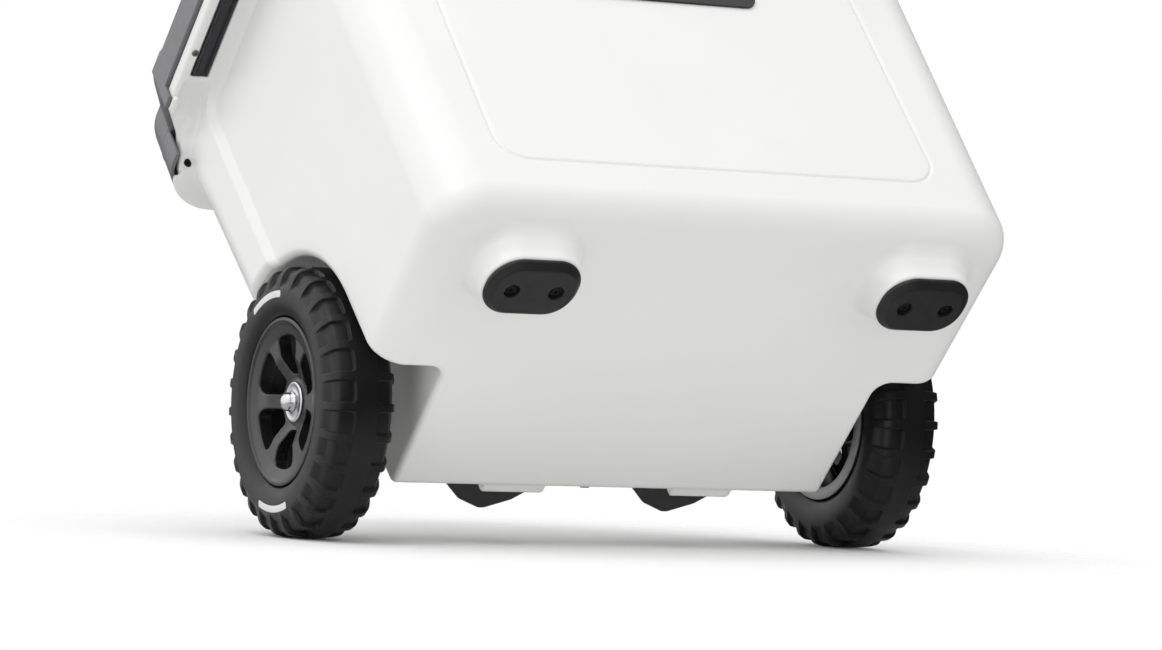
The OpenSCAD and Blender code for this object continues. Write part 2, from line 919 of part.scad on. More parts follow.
module handle_grip() {
    leg_low = guide_high + 12.6;
    color(black)
        difference() {
            union() {
                box(-tube_x, tube_x, tube_y - 12, tube_y + 12, grip_low, grip_high);
                for (s = sides)
                    rod_z(s * tube_x, tube_y, leg_low, grip_high, 15);
            }
            for (s = sides)
                rod_z(s * tube_x, tube_y, leg_low - 1, grip_low + 8.1, inner_r + 0.05);
            box(-24, 24, tube_y - 7, tube_y + 7, grip_high - 10, grip_high + 1);
        }
}

module release_button() {
    color([0.45, 0.45, 0.47])
        box(-23.6, 23.6, tube_y - 6.6, tube_y + 6.6, grip_high - 5, grip_high + 2.5);
}

module button_spring() {
    color(steel)
        difference() {
            rod_z(0, tube_y, grip_high - 9.9, grip_high - 5.3, 4);
            rod_z(0, tube_y, grip_high - 11, grip_high - 4, 3);
        }
}

body_shell();
body_foam();
liner();
top_frame();
foot_pad(-1);  // foot_pad_left
foot_pad(1);  // foot_pad_right
foot_screws();
side_grip(-1);  // side_grip_left
side_grip(1);  // side_grip_right
grip_screws();
front_badge();
latch_keepers();
keeper_screws();
axle();
wheel_spacers();
axle_washers();
axle_nuts();
tyre(-1);  // tyre_left
rim(-1);  // rim_left
hub_bush(-1);  // hub_bush_left
tyre(1);  // tyre_right
rim(1);  // rim_right
hub_bush(1);  // hub_bush_right
hinge_pins();
hinge_screws();
lid_shell();
lid_foam();
lid_liner();
lid_gasket();
latch_pins();
latch(-1);  // latch_left
latch(1);  // latch_right
drain_fitting();
drain_plug();
drain_seal();
lower_bracket(-1);  // lower_bracket_left
lower_bracket(1);  // lower_bracket_right
upper_bracket();
bracket_screws();
outer_tube(-1);  // outer_tube_left
outer_tube(1);  // outer_tube_right
middle_tube(-1);  // middle_tube_left
middle_tube(1);  // middle_tube_right
middle_collars();
inner_tube(-1);  // inner_tube_left
inner_tube(1);  // inner_tube_right
handle_grip();
release_button();
button_spring();
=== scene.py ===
"""Looks of a wheeled cooler: smooth moulded skins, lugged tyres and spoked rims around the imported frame.

Lengths in the field functions are millimetres in the frame's own axes: +X right, +Y rear, +Z up.
"""

import json
import math

import bpy
import numpy as np
from mathutils import Matrix, Vector


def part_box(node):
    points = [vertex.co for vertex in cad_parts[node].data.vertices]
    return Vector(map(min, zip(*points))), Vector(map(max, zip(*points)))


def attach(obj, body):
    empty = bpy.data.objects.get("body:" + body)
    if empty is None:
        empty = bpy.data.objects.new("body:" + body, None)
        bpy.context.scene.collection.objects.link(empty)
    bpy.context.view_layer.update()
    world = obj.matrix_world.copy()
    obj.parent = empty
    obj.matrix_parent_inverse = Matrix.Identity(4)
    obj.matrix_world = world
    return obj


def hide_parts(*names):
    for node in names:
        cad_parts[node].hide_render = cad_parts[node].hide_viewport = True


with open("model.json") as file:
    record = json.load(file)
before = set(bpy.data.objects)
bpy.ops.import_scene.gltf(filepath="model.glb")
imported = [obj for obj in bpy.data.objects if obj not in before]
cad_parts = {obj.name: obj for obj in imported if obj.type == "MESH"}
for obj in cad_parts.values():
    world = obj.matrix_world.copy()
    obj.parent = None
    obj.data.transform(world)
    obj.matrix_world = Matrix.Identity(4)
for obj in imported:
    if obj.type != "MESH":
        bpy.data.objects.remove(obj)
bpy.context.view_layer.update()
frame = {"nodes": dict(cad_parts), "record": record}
MM = 1000.0


def box_mm(node):
    """Lowest and highest corner of a CAD node, in millimetres."""
    low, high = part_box(node)
    return low * MM, high * MM


# ---------------------------------------------------------------- dimensions
TYRE_LOW, TYRE_HIGH = box_mm("tyre_right")
WHEEL_X, WHEEL_Y, WHEEL_Z = (TYRE_LOW + TYRE_HIGH) / 2
WHEEL_R = (TYRE_HIGH.z - TYRE_LOW.z) / 2
LUGS = 27

FRAME_LOW, FRAME_HIGH = box_mm("top_frame")
FLANGE_X = FRAME_HIGH.x
FLANGE_FRONT = FRAME_LOW.y
FLANGE_BACK = 172.8
FLANGE_TOP = FRAME_HIGH.z
SHELL_TOP = 487.0
FLOOR_Z = 38.0
HALF_W = 310.0
FRONT_Y = -208.5
BACK_Y = 152.5
SIDE_SLOPE = 0.03
BACK_SLOPE = 0.043
CORNER_R = 46.0
EDGE_R = 31.0
BACK_EDGE_R = 9.0
LINER_OUT = 33.0
WELL_X = 232.5
ARCH_R = WHEEL_R + 10
PAD_LOW, PAD_HIGH = box_mm("foot_pad_right")
FOOT_X, FOOT_Y, _ = (PAD_LOW + PAD_HIGH) / 2
FOOT_HALF_X = (PAD_HIGH.x - PAD_LOW.x) / 2
FOOT_HALF_Y = (PAD_HIGH.y - PAD_LOW.y) / 2
PAD_TOP = PAD_HIGH.z
FOOT_CORNER_R = 30.0

_, LID_HIGH = box_mm("lid_shell")
LID_HALF = LID_HIGH.x
LID_TOP = LID_HIGH.z
LID_BOTTOM = 505.0
LID_FRONT = -248.0
LID_BACK = 198.5
LID_CORNER_R = 54.0
CORNER_X, CORNER_Y = 285.0, 144.5
TAB_START, TAB_END = 77.5, 93.5
TAB_X = 352.0
BAY_X, BAY_Y = 152.0, 173.3
HINGE_LOW, HINGE_HIGH = box_mm("hinge_pins")
HINGE_Y = (HINGE_LOW.y + HINGE_HIGH.y) / 2
HINGE_Z = (HINGE_LOW.z + HINGE_HIGH.z) / 2
BARREL_R = 13.0
PIN_LOW, PIN_HIGH = box_mm("latch_pins")
LATCH_X = 150.0
LATCH_Y = (PIN_LOW.y + PIN_HIGH.y) / 2
LATCH_Z = (PIN_LOW.z + PIN_HIGH.z) / 2
LATCH_HALF = 17.0
KEEPER_Z = 476.0
TUBE_X = 101.0
GRIP_LOW, GRIP_HIGH = box_mm("handle_grip")
TUBE_Y = (GRIP_LOW.y + GRIP_HIGH.y) / 2
_, NUT_HIGH = box_mm("axle_nuts")
BRACKET_LOW, BRACKET_HIGH = box_mm("lower_bracket_right")
STRIP_LOW, STRIP_HIGH = box_mm("side_grip_right")


# ---------------------------------------------------------------- field helpers
def step(x):
    """Smooth rise from 0 at x = 0 to 1 at x = 1."""
    x = np.clip(x, 0, 1)
    return x * x * (3 - 2 * x)


def cut(a, b, r):
    """What lies in both fields, with a round edge of radius r."""
    u, v = np.maximum(a + r, 0), np.maximum(b + r, 0)
    return np.minimum(np.maximum(a, b), -r) + np.sqrt(u * u + v * v)


def join(a, b, r):
    """What lies in either field, with a fillet of radius r between them."""
    u, v = np.maximum(r - a, 0), np.maximum(r - b, 0)
    return np.maximum(np.minimum(a, b), r) - np.sqrt(u * u + v * v)


def plate(x, y, half_x, half_y, r):
    """Distance in a plane to a rectangle with corners of radius r."""
    dx, dy = np.abs(x) - half_x + r, np.abs(y) - half_y + r
    return np.hypot(np.maximum(dx, 0), np.maximum(dy, 0)) + np.minimum(np.maximum(dx, dy), 0) - r


def span(z, low, high):
    """Distance to the layer between two levels."""
    return np.maximum(low - z, z - high)


# ---------------------------------------------------------------- surface from a field
def ruler(low, high, gap, fine=()):
    """Grid lines from low to high; each (start, end, gap) in fine has closer ones."""
    lines = [low]
    while lines[-1] < high:
        near = [g for a, b, g in fine if a - gap < lines[-1] < b]
        lines.append(lines[-1] + min(near, default=gap))
    return np.array(lines)


def mirrored(lines):
    """Grid lines on both sides of 0, from those on the positive side."""
    return np.concatenate([-lines[:0:-1], lines])


def sample(field, axes):
    """Field values on the grid; blocks of it that are far from the surface take one value."""
    block = 4
    count = [len(a) for a in axes]
    groups = [[a[i : i + block + 1] for i in range(0, len(a), block)] for a in axes]
    mid = [np.array([(g[0] + g[-1]) / 2 for g in gs]) for gs in groups]
    half = [np.array([(g[-1] - g[0]) / 2 for g in gs]) for gs in groups]
    far = field(*np.meshgrid(*mid, indexing="ij", sparse=True)) + np.zeros([len(m) for m in mid])
    reach = np.sqrt(
        half[0][:, None, None] ** 2 + half[1][None, :, None] ** 2 + half[2][None, None, :] ** 2
    )
    near = np.abs(far) < 1.3 * reach + 1
    big = far.astype(np.float32)
    for axis in range(3):
        big, near = np.repeat(big, block, axis), np.repeat(near, block, axis)
    cropped = tuple(slice(0, n) for n in count)
    values, near = big[cropped].copy(), near[cropped]
    at = np.nonzero(near)
    values[at] = field(*[a[i] for a, i in zip(axes, at)])
    return values


def gradient(field, points):
    """Direction in which the field grows, at each point."""
    small = 0.05
    out = np.empty_like(points)
    for axis in range(3):
        moved = points.copy()
        moved[:, axis] += small
        ahead = field(*moved.T)
        moved[:, axis] -= 2 * small
        out[:, axis] = (ahead - field(*moved.T)) / (2 * small)
    return out


def settle(field, points, limit):
    """Moves points onto the surface, each by limit at most."""
    for _ in range(3):
        g = gradient(field, points)
        g /= np.maximum((g * g).sum(1, keepdims=True), 0.2)
        move = g * field(*points.T)[:, None]
        size = np.linalg.norm(move, axis=1, keepdims=True)
        points = points - move * np.minimum(1, limit / np.maximum(size, 1e-9))
    return points


def net(field, axes):
    """Vertices and quads of the surface where the field is 0."""
    values = sample(field, axes)
    inside = values < 0
    n = [len(a) - 1 for a in axes]
    corner = [(i, j, k) for i in (0, 1) for j in (0, 1) for k in (0, 1)]
    total = sum(inside[i : i + n[0], j : j + n[1], k : k + n[2]].astype(np.int8) for i, j, k in corner)
    cell = np.stack(np.nonzero((total > 0) & (total < 8)), 1)
    number = np.full(n, -1, np.int64)
    number[tuple(cell.T)] = np.arange(len(cell))

    place, hits = np.zeros((len(cell), 3)), np.zeros((len(cell), 1))
    for a in corner:
        for axis in range(3):
            if a[axis]:
                continue
            b = tuple(1 if i == axis else a[i] for i in range(3))
            ia, ib = cell + a, cell + b
            va, vb = values[tuple(ia.T)].astype(float), values[tuple(ib.T)].astype(float)
            crosses = ((va < 0) != (vb < 0))[:, None]
            share = (va / np.where(va == vb, 1, va - vb))[:, None]
            pa = np.stack([axes[i][ia[:, i]] for i in range(3)], 1)
            pb = np.stack([axes[i][ib[:, i]] for i in range(3)], 1)
            place += np.where(crosses, pa + (pb - pa) * share, 0)
            hits += crosses
    place /= hits

    quads = []
    for axis in range(3):
        u, v = (axis + 1) % 3, (axis + 2) % 3
        low = [slice(0, None)] * 3
        high = [slice(0, None)] * 3
        low[axis], high[axis] = slice(0, -1), slice(1, None)
        change = inside[tuple(low)] != inside[tuple(high)]
        at = np.stack(np.nonzero(change), 1)
        at = at[(at[:, u] > 0) & (at[:, v] > 0) & (at[:, u] < n[u]) & (at[:, v] < n[v])]
        ring = []
        for du, dv in ((1, 1), (0, 1), (0, 0), (1, 0)):
            c = at.copy()
            c[:, u] -= du
            c[:, v] -= dv
            ring.append(number[tuple(c.T)])
        ring = np.stack(ring, 1)
        outward = inside[tuple(at.T)]
        quads.append(np.where(outward[:, None], ring, ring[:, ::-1]))
    return place, np.concatenate(quads)


def relax(points, quads, rounds):
    """Evens out the spacing of the vertices."""
    a = np.concatenate([quads[:, i] for i in range(4)])
    b = np.concatenate([quads[:, (i + 1) % 4] for i in range(4)])
    ends, others = np.concatenate([a, b]), np.concatenate([b, a])
    degree = np.bincount(ends, minlength=len(points))[:, None]
    for _ in range(rounds):
        total = np.stack([np.bincount(ends, points[others, i], len(points)) for i in range(3)], 1)
        points = (points + total / degree) / 2
    return points


def linked(name, data):
    """A new object in the scene."""
    obj = bpy.data.objects.new(name, data)
    bpy.context.scene.collection.objects.link(obj)
    return obj


def mesh_object(name, points, faces):
    """A smooth-shaded object from points in millimetres and faces of one size."""
    mesh = bpy.data.meshes.new(name)
    size = faces.shape[1]
    mesh.vertices.add(len(points))
    mesh.vertices.foreach_set("co", (points / MM).astype(np.float32).ravel())
    mesh.loops.add(faces.size)
    mesh.loops.foreach_set("vertex_index", faces.astype(np.int32).ravel())
    mesh.polygons.add(len(faces))
    mesh.polygons.foreach_set("loop_start", np.arange(0, faces.size, size, dtype=np.int32))
    mesh.update(calc_edges=True)
    mesh.validate()
    mesh.shade_smooth()
    return linked(name, mesh)


def sheet(rows, cols, closed_rows, closed_cols):
    """Quads between neighbours in a grid of points; a closed direction joins its last to its first."""
    last_row, last_col = rows - (not closed_rows), cols - (not closed_cols)
    i, j = np.meshgrid(np.arange(last_row), np.arange(last_col), indexing="ij")
    ahead, beside = (i + 1) % rows, (j + 1) % cols
    quads = np.stack([i * cols + j, i * cols + beside, ahead * cols + beside, ahead * cols + j], -1)
    return quads.reshape(-1, 4)


def around_axle(across, radius, angle):
    """Points in millimetres from their place along the axle, their distance from it and their angle."""
    points = np.stack([across, radius * np.cos(angle), radius * np.sin(angle)], -1)
    return points.reshape(-1, 3) + np.array([0, WHEEL_Y, WHEEL_Z])


def applied(obj):
    """The same object with its modifiers made permanent."""
    graph = bpy.context.evaluated_depsgraph_get()
    mesh = bpy.data.meshes.new_from_object(obj.evaluated_get(graph))
    obj.modifiers.clear()
    obj.data = mesh
    return obj


def mesh_points(mesh):
    """A mesh's vertices in millimetres."""
    flat = np.empty(len(mesh.vertices) * 3, np.float32)
    mesh.vertices.foreach_get("co", flat)
    return flat.reshape(-1, 3).astype(float) * MM


def shade_by(obj, field):
    """Normals straight from the field, so that fillets shade smoothly whatever the mesh is."""
    g = gradient(field, mesh_points(obj.data))
    g /= np.maximum(np.linalg.norm(g, axis=1, keepdims=True), 1e-9)
    obj.data.normals_split_custom_set_from_vertices(g.tolist())


def moulded(name, field, axes, keep=0.35, rounds=2):
    """An object whose surface is the field's zero level, thinned out to a share of its faces."""
    points, quads = net(field, axes)
    gap = min(float(np.diff(a).max()) for a in axes)
    points = settle(field, points, gap)
    points = settle(field, relax(points, quads, rounds), gap)
    obj = mesh_object(name, points, quads)
    if keep < 1:
        thin = obj.modifiers.new("thin", "DECIMATE")
        thin.ratio = keep
        obj = applied(obj)
        obj.data.shade_smooth()
    shade_by(obj, field)
    return obj


def mirror_copy(obj, name):
    """The same piece on the other side of the cooler."""
    other = obj.copy()
    other.data = obj.data.copy()
    other.name = other.data.name = name
    bpy.context.scene.collection.objects.link(other)
    normals = [(-c.vector.x, c.vector.y, c.vector.z) for c in obj.data.corner_normals]
    other.data.transform(Matrix.Scale(-1, 4, (1, 0, 0)))
    turned = []
    for face in obj.data.polygons:
        loops = list(face.loop_indices)
        turned += [loops[0]] + loops[:0:-1]
    other.data.flip_normals()
    other.data.normals_split_custom_set([normals[i] for i in turned])
    return other


# ---------------------------------------------------------------- tub with its flange
def recess(y, z):
    """Depth of the sunken side panels, with a sloped band round them."""
    rear, top, corner = 86.5, 484.0, 24.0
    depth, band, soft = 5.8, 11.5, 0.06
    edge = -cut(y - rear, z - top, corner) / band
    ease = np.clip(edge, 0, 1)
    rounded = np.where(ease < soft, ease**2 / (2 * soft), ease - soft / 2)
    rounded = np.where(ease > 1 - soft, 1 - soft - (1 - ease) ** 2 / (2 * soft), rounded)
    return depth * rounded / (1 - soft)


def groove(x, z):
    """Depth of the fine line round the front panel."""
    depth, width = 1.5, 1.6
    middle, half_w, half_h, corner = 273.0, 232.0, 172.0, 32.0
    line = plate(x, z - middle, half_w, half_h, corner)
    return depth * np.exp(-((line / width) ** 2))


def block(x, y, z, inset):
    """The tapered tub, drawn in by inset; only the outer skin has its panels."""
    outer = inset == 0
    least_corner, least_edge = 16, 8
    blend_start, blend_length = 60, 80
    h = z - FLOOR_Z
    side = np.abs(x) - HALF_W - SIDE_SLOPE * h + inset + (recess(y, z) if outer else 0)
    front = FRONT_Y - SIDE_SLOPE * h - y + inset + (groove(x, z) if outer else 0)
    back = y - BACK_Y - BACK_SLOPE * h + inset
    corner = max(CORNER_R - inset, least_corner)
    plan = cut(cut(side, front, corner), back, corner)
    edge = EDGE_R + (BACK_EDGE_R - EDGE_R) * step((y - blend_start) / blend_length)
    return cut(plan, FLOOR_Z + inset - z, np.maximum(edge - inset, least_edge))


def well(x, y, z, grow):
    """Space for both wheels; its lip flares out at the side face."""
    ax = np.abs(x)
    flare_size, flare_start, flare_length, inner_r = 5, 300, 18, 16
    flare = flare_size * step((ax - flare_start) / flare_length) ** 2
    arch = np.where(z > WHEEL_Z, np.hypot(y - WHEEL_Y, z - WHEEL_Z), np.abs(y - WHEEL_Y))
    return cut(arch - ARCH_R - grow - flare, WELL_X - grow - ax, inner_r)


def boss(x, y, z):
    """White block over each foot pad, wider where it meets the floor."""
    margin, growth, sunk_into_tub, edge_r = 2.0, 7.0, 30, 3
    spread = margin + growth * step((z - PAD_TOP) / (FLOOR_Z - PAD_TOP)) ** 1.5
    plan = plate(np.abs(x) - FOOT_X, y - FOOT_Y, FOOT_HALF_X, FOOT_HALF_Y, FOOT_CORNER_R) - spread
    return cut(plan, span(z, PAD_TOP, FLOOR_Z + sunk_into_tub), edge_r)


def round_corner(x, y, r):
    """Distance in plan to the shape whose rear corners turn with radius r."""
    return np.hypot(np.maximum(np.abs(x) - CORNER_X, 0), np.maximum(y - CORNER_Y, 0)) - r


def flange(x, y, z):
    """The white rim under the lid, with its hand-hold scoops and rear ledge."""
    ax = np.abs(x)
    half_y, corner_r = (FLANGE_BACK - FLANGE_FRONT) / 2, 30.0
    plan = plate(x, y - (FLANGE_FRONT + FLANGE_BACK) / 2, FLANGE_X, half_y, corner_r)
    chamfer_start = 90.0
    chamfer = ((ax - FLANGE_X) * 0.86 + (y - chamfer_start) * 0.5)
    plan = cut(plan, chamfer, 8)
    rim = cut(plan, span(z, SHELL_TOP, FLANGE_TOP), 4)

    shelf_x, shelf_y, shelf_z = (340, 357), (74, 97), (482, 487.6)
    shelf = cut(cut(span(ax, *shelf_x), span(y, *shelf_y), 3), span(z, *shelf_z), 2)
    rim = np.minimum(rim, np.maximum(shelf, chamfer))

    ramp_front, ramp_start, ramp_length, ramp_drop, ramp_r = 99, 108, 70, 27, 46.5
    under = SHELL_TOP - ramp_drop * step((y - ramp_start) / ramp_length)
    corner = np.maximum(round_corner(x, y, ramp_r), span(y, ramp_front, FLANGE_BACK))
    ramp = cut(corner, span(z, under, SHELL_TOP + 8), 3)
    ramp = np.maximum(ramp, BAY_X - ax)

    ledge_front, ledge_top = 100, 466
    ledge_plan = np.maximum(round_corner(x, y, LID_CORNER_R), ledge_front - y)
    ledge = cut(ledge_plan, span(z, under, ledge_top), 2)
    ledge = np.maximum(ledge, BAY_X - ax)
    rim = join(join(rim, ramp, 6), ledge, 3)

    scoop_x, scoop_half, scoop_y, scoop_z, scoop_r = 332.0, 19, 76.0, SHELL_TOP - 31, 39
    scoop = np.hypot(y - scoop_y, z - scoop_z) - scoop_r
    return cut(rim, -cut(scoop, np.abs(ax - scoop_x) - scoop_half, 2), 1)


def mouth(x, y):
    """The opening into the tub through the flange."""
    front, back, half_x, rim_width, corner_r = -222.0, 171.8, 323.5, 36, 20.0
    mid, half_y = (front + back) / 2, (back - front) / 2
    return plate(x, y - mid, half_x - rim_width, half_y - rim_width, corner_r)


def tub_field(x, y, z):
    """The whole white moulding: tapered tub, wheel wells, foot bosses, rear lugs, flange and openings."""
    outer = np.maximum(block(x, y, z, 0), z - SHELL_TOP - 2)
    body = cut(outer, -well(x, y, z, 0), 6)
    body = join(body, boss(x, y, z), 9)

    lug_x, lug_y, lug_z = (69, 135), (100, 160), (40, 50)
    lug = np.maximum(span(np.abs(x), *lug_x), span(y, *lug_y))
    body = np.minimum(body, cut(lug, span(z, *lug_z), 1.5))
    body = join(body, flange(x, y, z), 12)

    hollow = np.maximum(block(x, y, z, LINER_OUT), -well(x, y, z, LINER_OUT))
    hollow = np.where(z > SHELL_TOP, mouth(x, y), hollow)
    body = np.maximum(body, -hollow)

    seat_x, seat_y, seat_top = (330, 347), (-99.5, 46.5), 498
    grip_seat = np.maximum(span(np.abs(x), *seat_x), span(y, *seat_y))
    body = np.maximum(body, -np.maximum(grip_seat, z - seat_top))

    drain_z, drain_r, drain_start = 92, 14.2, 140
    drain = np.maximum(np.hypot(x, z - drain_z) - drain_r, drain_start - y)
    return np.maximum(body, -drain)


def make_tub():
    coarse = 3.2
    close = 1.1
    well_wall, flange_ends = (196, 240, close), (300, 362, close + 1.2)
    rear_half = (60, 204, close + 1.2)
    arch_top, flange_depth = (96, 134, close), (456, 508, close + 0.7)
    axes = (
        mirrored(ruler(0, 366, coarse, [well_wall, flange_ends])),
        ruler(-256, 208, coarse, [rear_half]),
        ruler(0, 512, coarse, [arch_top, flange_depth]),
    )
    obj = moulded("tub_skin", tub_field, axes, keep=0.27)
    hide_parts("body_shell", "top_frame", "body_foam")
    return obj


# ---------------------------------------------------------------- wheels
def tyre_profile():
    """Half of the tyre's section from the middle of the tread to the bead: (across, radius)."""
    return np.array([
        (0, 128.0), (10, 127.9), (20, 127.2), (26.5, 125.6), (30.5, 121.5), (33.2, 115.5),
        (35.0, 108.5), (35.9, 100.5), (35.4, 93.0), (33.6, 87.0), (31.2, 82.6), (28.6, 80.6),
    ])


def smooth_line(points, closeness):
    """Catmull-Rom curve through the points, with closeness steps between each two."""
    ends = np.vstack([2 * points[0] - points[1], points, 2 * points[-1] - points[-2]])
    out = []
    for i in range(1, len(ends) - 2):
        p0, p1, p2, p3 = ends[i - 1 : i + 3]
        for t in np.arange(closeness) / closeness:
            out.append(
                0.5
                * (2 * p1 + (p2 - p0) * t + (2 * p0 - 5 * p1 + 4 * p2 - p3) * t**2
                   + (3 * p1 - p0 - 3 * p2 + p3) * t**3)
            )
    out.append(points[-1])
    return np.array(out)


def make_tyre():
    """Right tyre: a section swept round, with pockets sunk between the shoulder ribs."""
    line = smooth_line(tyre_profile(), 24)
    length = np.concatenate([[0], np.cumsum(np.linalg.norm(np.diff(line, axis=0), axis=1))])
    end = length[-1]
    stretches = [(0, 9.6, 2.4), (9.8, 13.4, 0.45), (13.8, 36, 1.7), (36.5, 50, 1.1), (50.5, end, 1.4)]
    marks = np.concatenate([np.arange(*stretch) for stretch in stretches] + [[end]])
    across = np.interp(marks, length, line[:, 0])
    radius = np.interp(marks, length, line[:, 1])
    slope = np.stack([np.gradient(across, marks), np.gradient(radius, marks)], 1)
    slope /= np.linalg.norm(slope, axis=1, keepdims=True)
    normal = np.stack([-slope[:, 1], slope[:, 0]], 1)

    pitch = 2 * math.pi * WHEEL_R / LUGS
    half_pocket, pocket_middle, pocket_reach, pocket_corner = 11.2, 37.0, 26.5, 4.2
    pocket_depth, wall, fade_start, fade_length = 3.4, 1.2, 38, 12
    steps = np.array([0, 3.0, 6.0, 8.2, 9.2, 9.8, 10.3, 10.8, 11.3, 11.9, 13.2])
    around = np.concatenate([-steps[:0:-1], steps, [pitch / 2]])
    pocket = plate(around[:, None], marks[None, :] - pocket_middle, half_pocket, pocket_reach, pocket_corner)
    fade = 1 - step((marks[None, :] - fade_start) / fade_length)
    depth = pocket_depth * step(-pocket / wall) * fade

    angle = np.concatenate([(i + 0.5) * 2 * math.pi / LUGS + around / WHEEL_R for i in range(LUGS)])
    half = np.stack([across, radius], 1)[None] - depth[..., None] * normal[None]
    half_a, half_r = half[..., 0], half[..., 1]
    a = np.tile(np.concatenate([-half_a[:, :0:-1], half_a], 1), (LUGS, 1))
    r = np.tile(np.concatenate([half_r[:, :0:-1], half_r], 1), (LUGS, 1))
    points = around_axle(WHEEL_X + a, r, angle[:, None])
    return mesh_object("tyre_right_tread", points, sheet(*a.shape, True, True))


def face_level(r):
    """How far out the wheel's dished face stands at a radius."""
    radii = [0, 20.5, 23, 42, 46, 62, 74.5, 77, 90]
    levels = [15, 15, 14, 23.6, 24.8, 26, 29.6, 30.2, 30.2]
    return np.interp(r, radii, levels)


def rim_field(x, y, z):
    """Right rim: dished disc with six windows, a barrel, a lip and a hub."""
    a = x - WHEEL_X
    v, w = y - WHEEL_Y, z - WHEEL_Z
    r = np.hypot(v, w)
    sector = math.pi / 3
    turn = np.mod(np.arctan2(w, v) - math.pi / 4 + sector / 2, sector) - sector / 2
    level = face_level(r)
    disc_r, disc_depth, lean = 77, 14, 0.93
    disc = cut((a - level) * lean, (level - disc_depth - a) * lean, 1.5)
    disc = cut(disc, r - disc_r, 1.2)

    window_in, window_out, spoke_half, spoke_flare = 27, 63, 7.0, 3.2
    spoke = spoke_half + spoke_flare * step((r - 46) / 16)
    window = cut((spoke - np.abs(r * np.sin(turn))) * 0.97, r - window_out, 7)
    disc = cut(disc, -cut(window, window_in - r, 4), 1.4)

    barrel = cut(span(r, 69.5, 80.8), span(a, -33, 20), 2)
    lip = cut(span(r, 75.2, 79.8), span(a, 12, 31), 1.6)
    hub_r, bore_r = 21, 12.52
    hub = cut(r - hub_r, span(a, -29.5, 15), 2)
    body = join(join(disc, barrel, 3), join(lip, hub, 0.5), 2)
    return np.maximum(body, bore_r - r)


def make_rim():
    gap = 1.5
    around = 84
    axes = (
        ruler(WHEEL_X - 36, WHEEL_X + 34, gap),
        ruler(WHEEL_Y - around, WHEEL_Y + around, gap),
        ruler(WHEEL_Z - around, WHEEL_Z + around, gap),
    )
    return moulded("rim_right_cast", rim_field, axes, keep=0.5)


def pad_field(x, y, z):
    """Right foot pad with its bevelled edge and two screw wells."""
    bevel_in, bevel_up, edge_r = 3.2, 2.8, 0.8
    well_x, well_r, well_depth = 22.3, 7.5, 5
    plan = plate(x - FOOT_X, y - FOOT_Y, FOOT_HALF_X, FOOT_HALF_Y, FOOT_CORNER_R)
    bevel = (plan + bevel_in + (bevel_up - z)) * 0.707
    body = cut(cut(plan, span(z, 0, PAD_TOP), edge_r), bevel, edge_r)
    wells = np.hypot(np.abs(x - FOOT_X) - well_x, y - FOOT_Y) - well_r
    return cut(body, -np.maximum(wells, z - well_depth), edge_r)


def make_pad():
    gap = 1.1
    axes = (
        ruler(FOOT_X - 50, FOOT_X + 50, gap),
        ruler(FOOT_Y - 36, FOOT_Y + 36, gap),
        ruler(-2, PAD_TOP + 2, 0.8),
    )
    return moulded("foot_pad_right_cast", pad_field, axes, keep=0.5, rounds=1)


def strip_field(x, y, z):
    """Right side grip: a soft bar with a shallow trough along its underside."""
    side_wall, end_wall, trough_depth = 2.6, 3, 2.6
    bar = cut(span(x, STRIP_LOW.x, STRIP_HIGH.x), span(y, STRIP_LOW.y, STRIP_HIGH.y), 1)
    bar = cut(bar, span(z, STRIP_LOW.z, STRIP_HIGH.z), 1.2)
    inset = (z - STRIP_LOW.z) * 0.8
    trough = np.maximum(
        span(x, STRIP_LOW.x + side_wall + inset, STRIP_HIGH.x - side_wall - inset),
        span(y, STRIP_LOW.y + end_wall + 2 * inset, STRIP_HIGH.y - end_wall - 2 * inset),
    )
    return cut(bar, -np.maximum(trough, z - STRIP_LOW.z - trough_depth), 0.5)


def make_strip():
    gap, coarse, end = 0.7, 1.6, 10
    ends = [(STRIP_LOW.y, STRIP_LOW.y + end, gap), (STRIP_HIGH.y - end, STRIP_HIGH.y, gap)]
    axes = (
        ruler(STRIP_LOW.x - 2, STRIP_HIGH.x + 2, gap),
        ruler(STRIP_LOW.y - 3, STRIP_HIGH.y + 3, coarse, ends),
        ruler(STRIP_LOW.z - 2, STRIP_HIGH.z + 2, gap),
    )
    return moulded("side_grip_right_soft", strip_field, axes, keep=0.5, rounds=1)


# ---------------------------------------------------------------- lid
def lid_plan(x, y):
    """Outline of the lid in plan: wide up to its tabs, then drawn in to round rear corners."""
    ax = np.abs(x)
    front_corner_r = 34.0
    mid = (LID_FRONT + CORNER_Y) / 2
    wide = plate(x, y - mid, LID_HALF, CORNER_Y - mid, front_corner_r)
    slant = (ax - LID_HALF) * 0.88 + (y - TAB_END) * 0.475
    rear_mid = (LID_FRONT + LID_CORNER_R + LID_BACK) / 2
    rear = plate(x, y - rear_mid, CORNER_X + LID_CORNER_R, LID_BACK - rear_mid, LID_CORNER_R)
    plan = np.minimum(cut(wide, slant, 5), rear)
    bay = cut(ax - BAY_X, BAY_Y - y, 5)
    return cut(plan, -bay, 4)


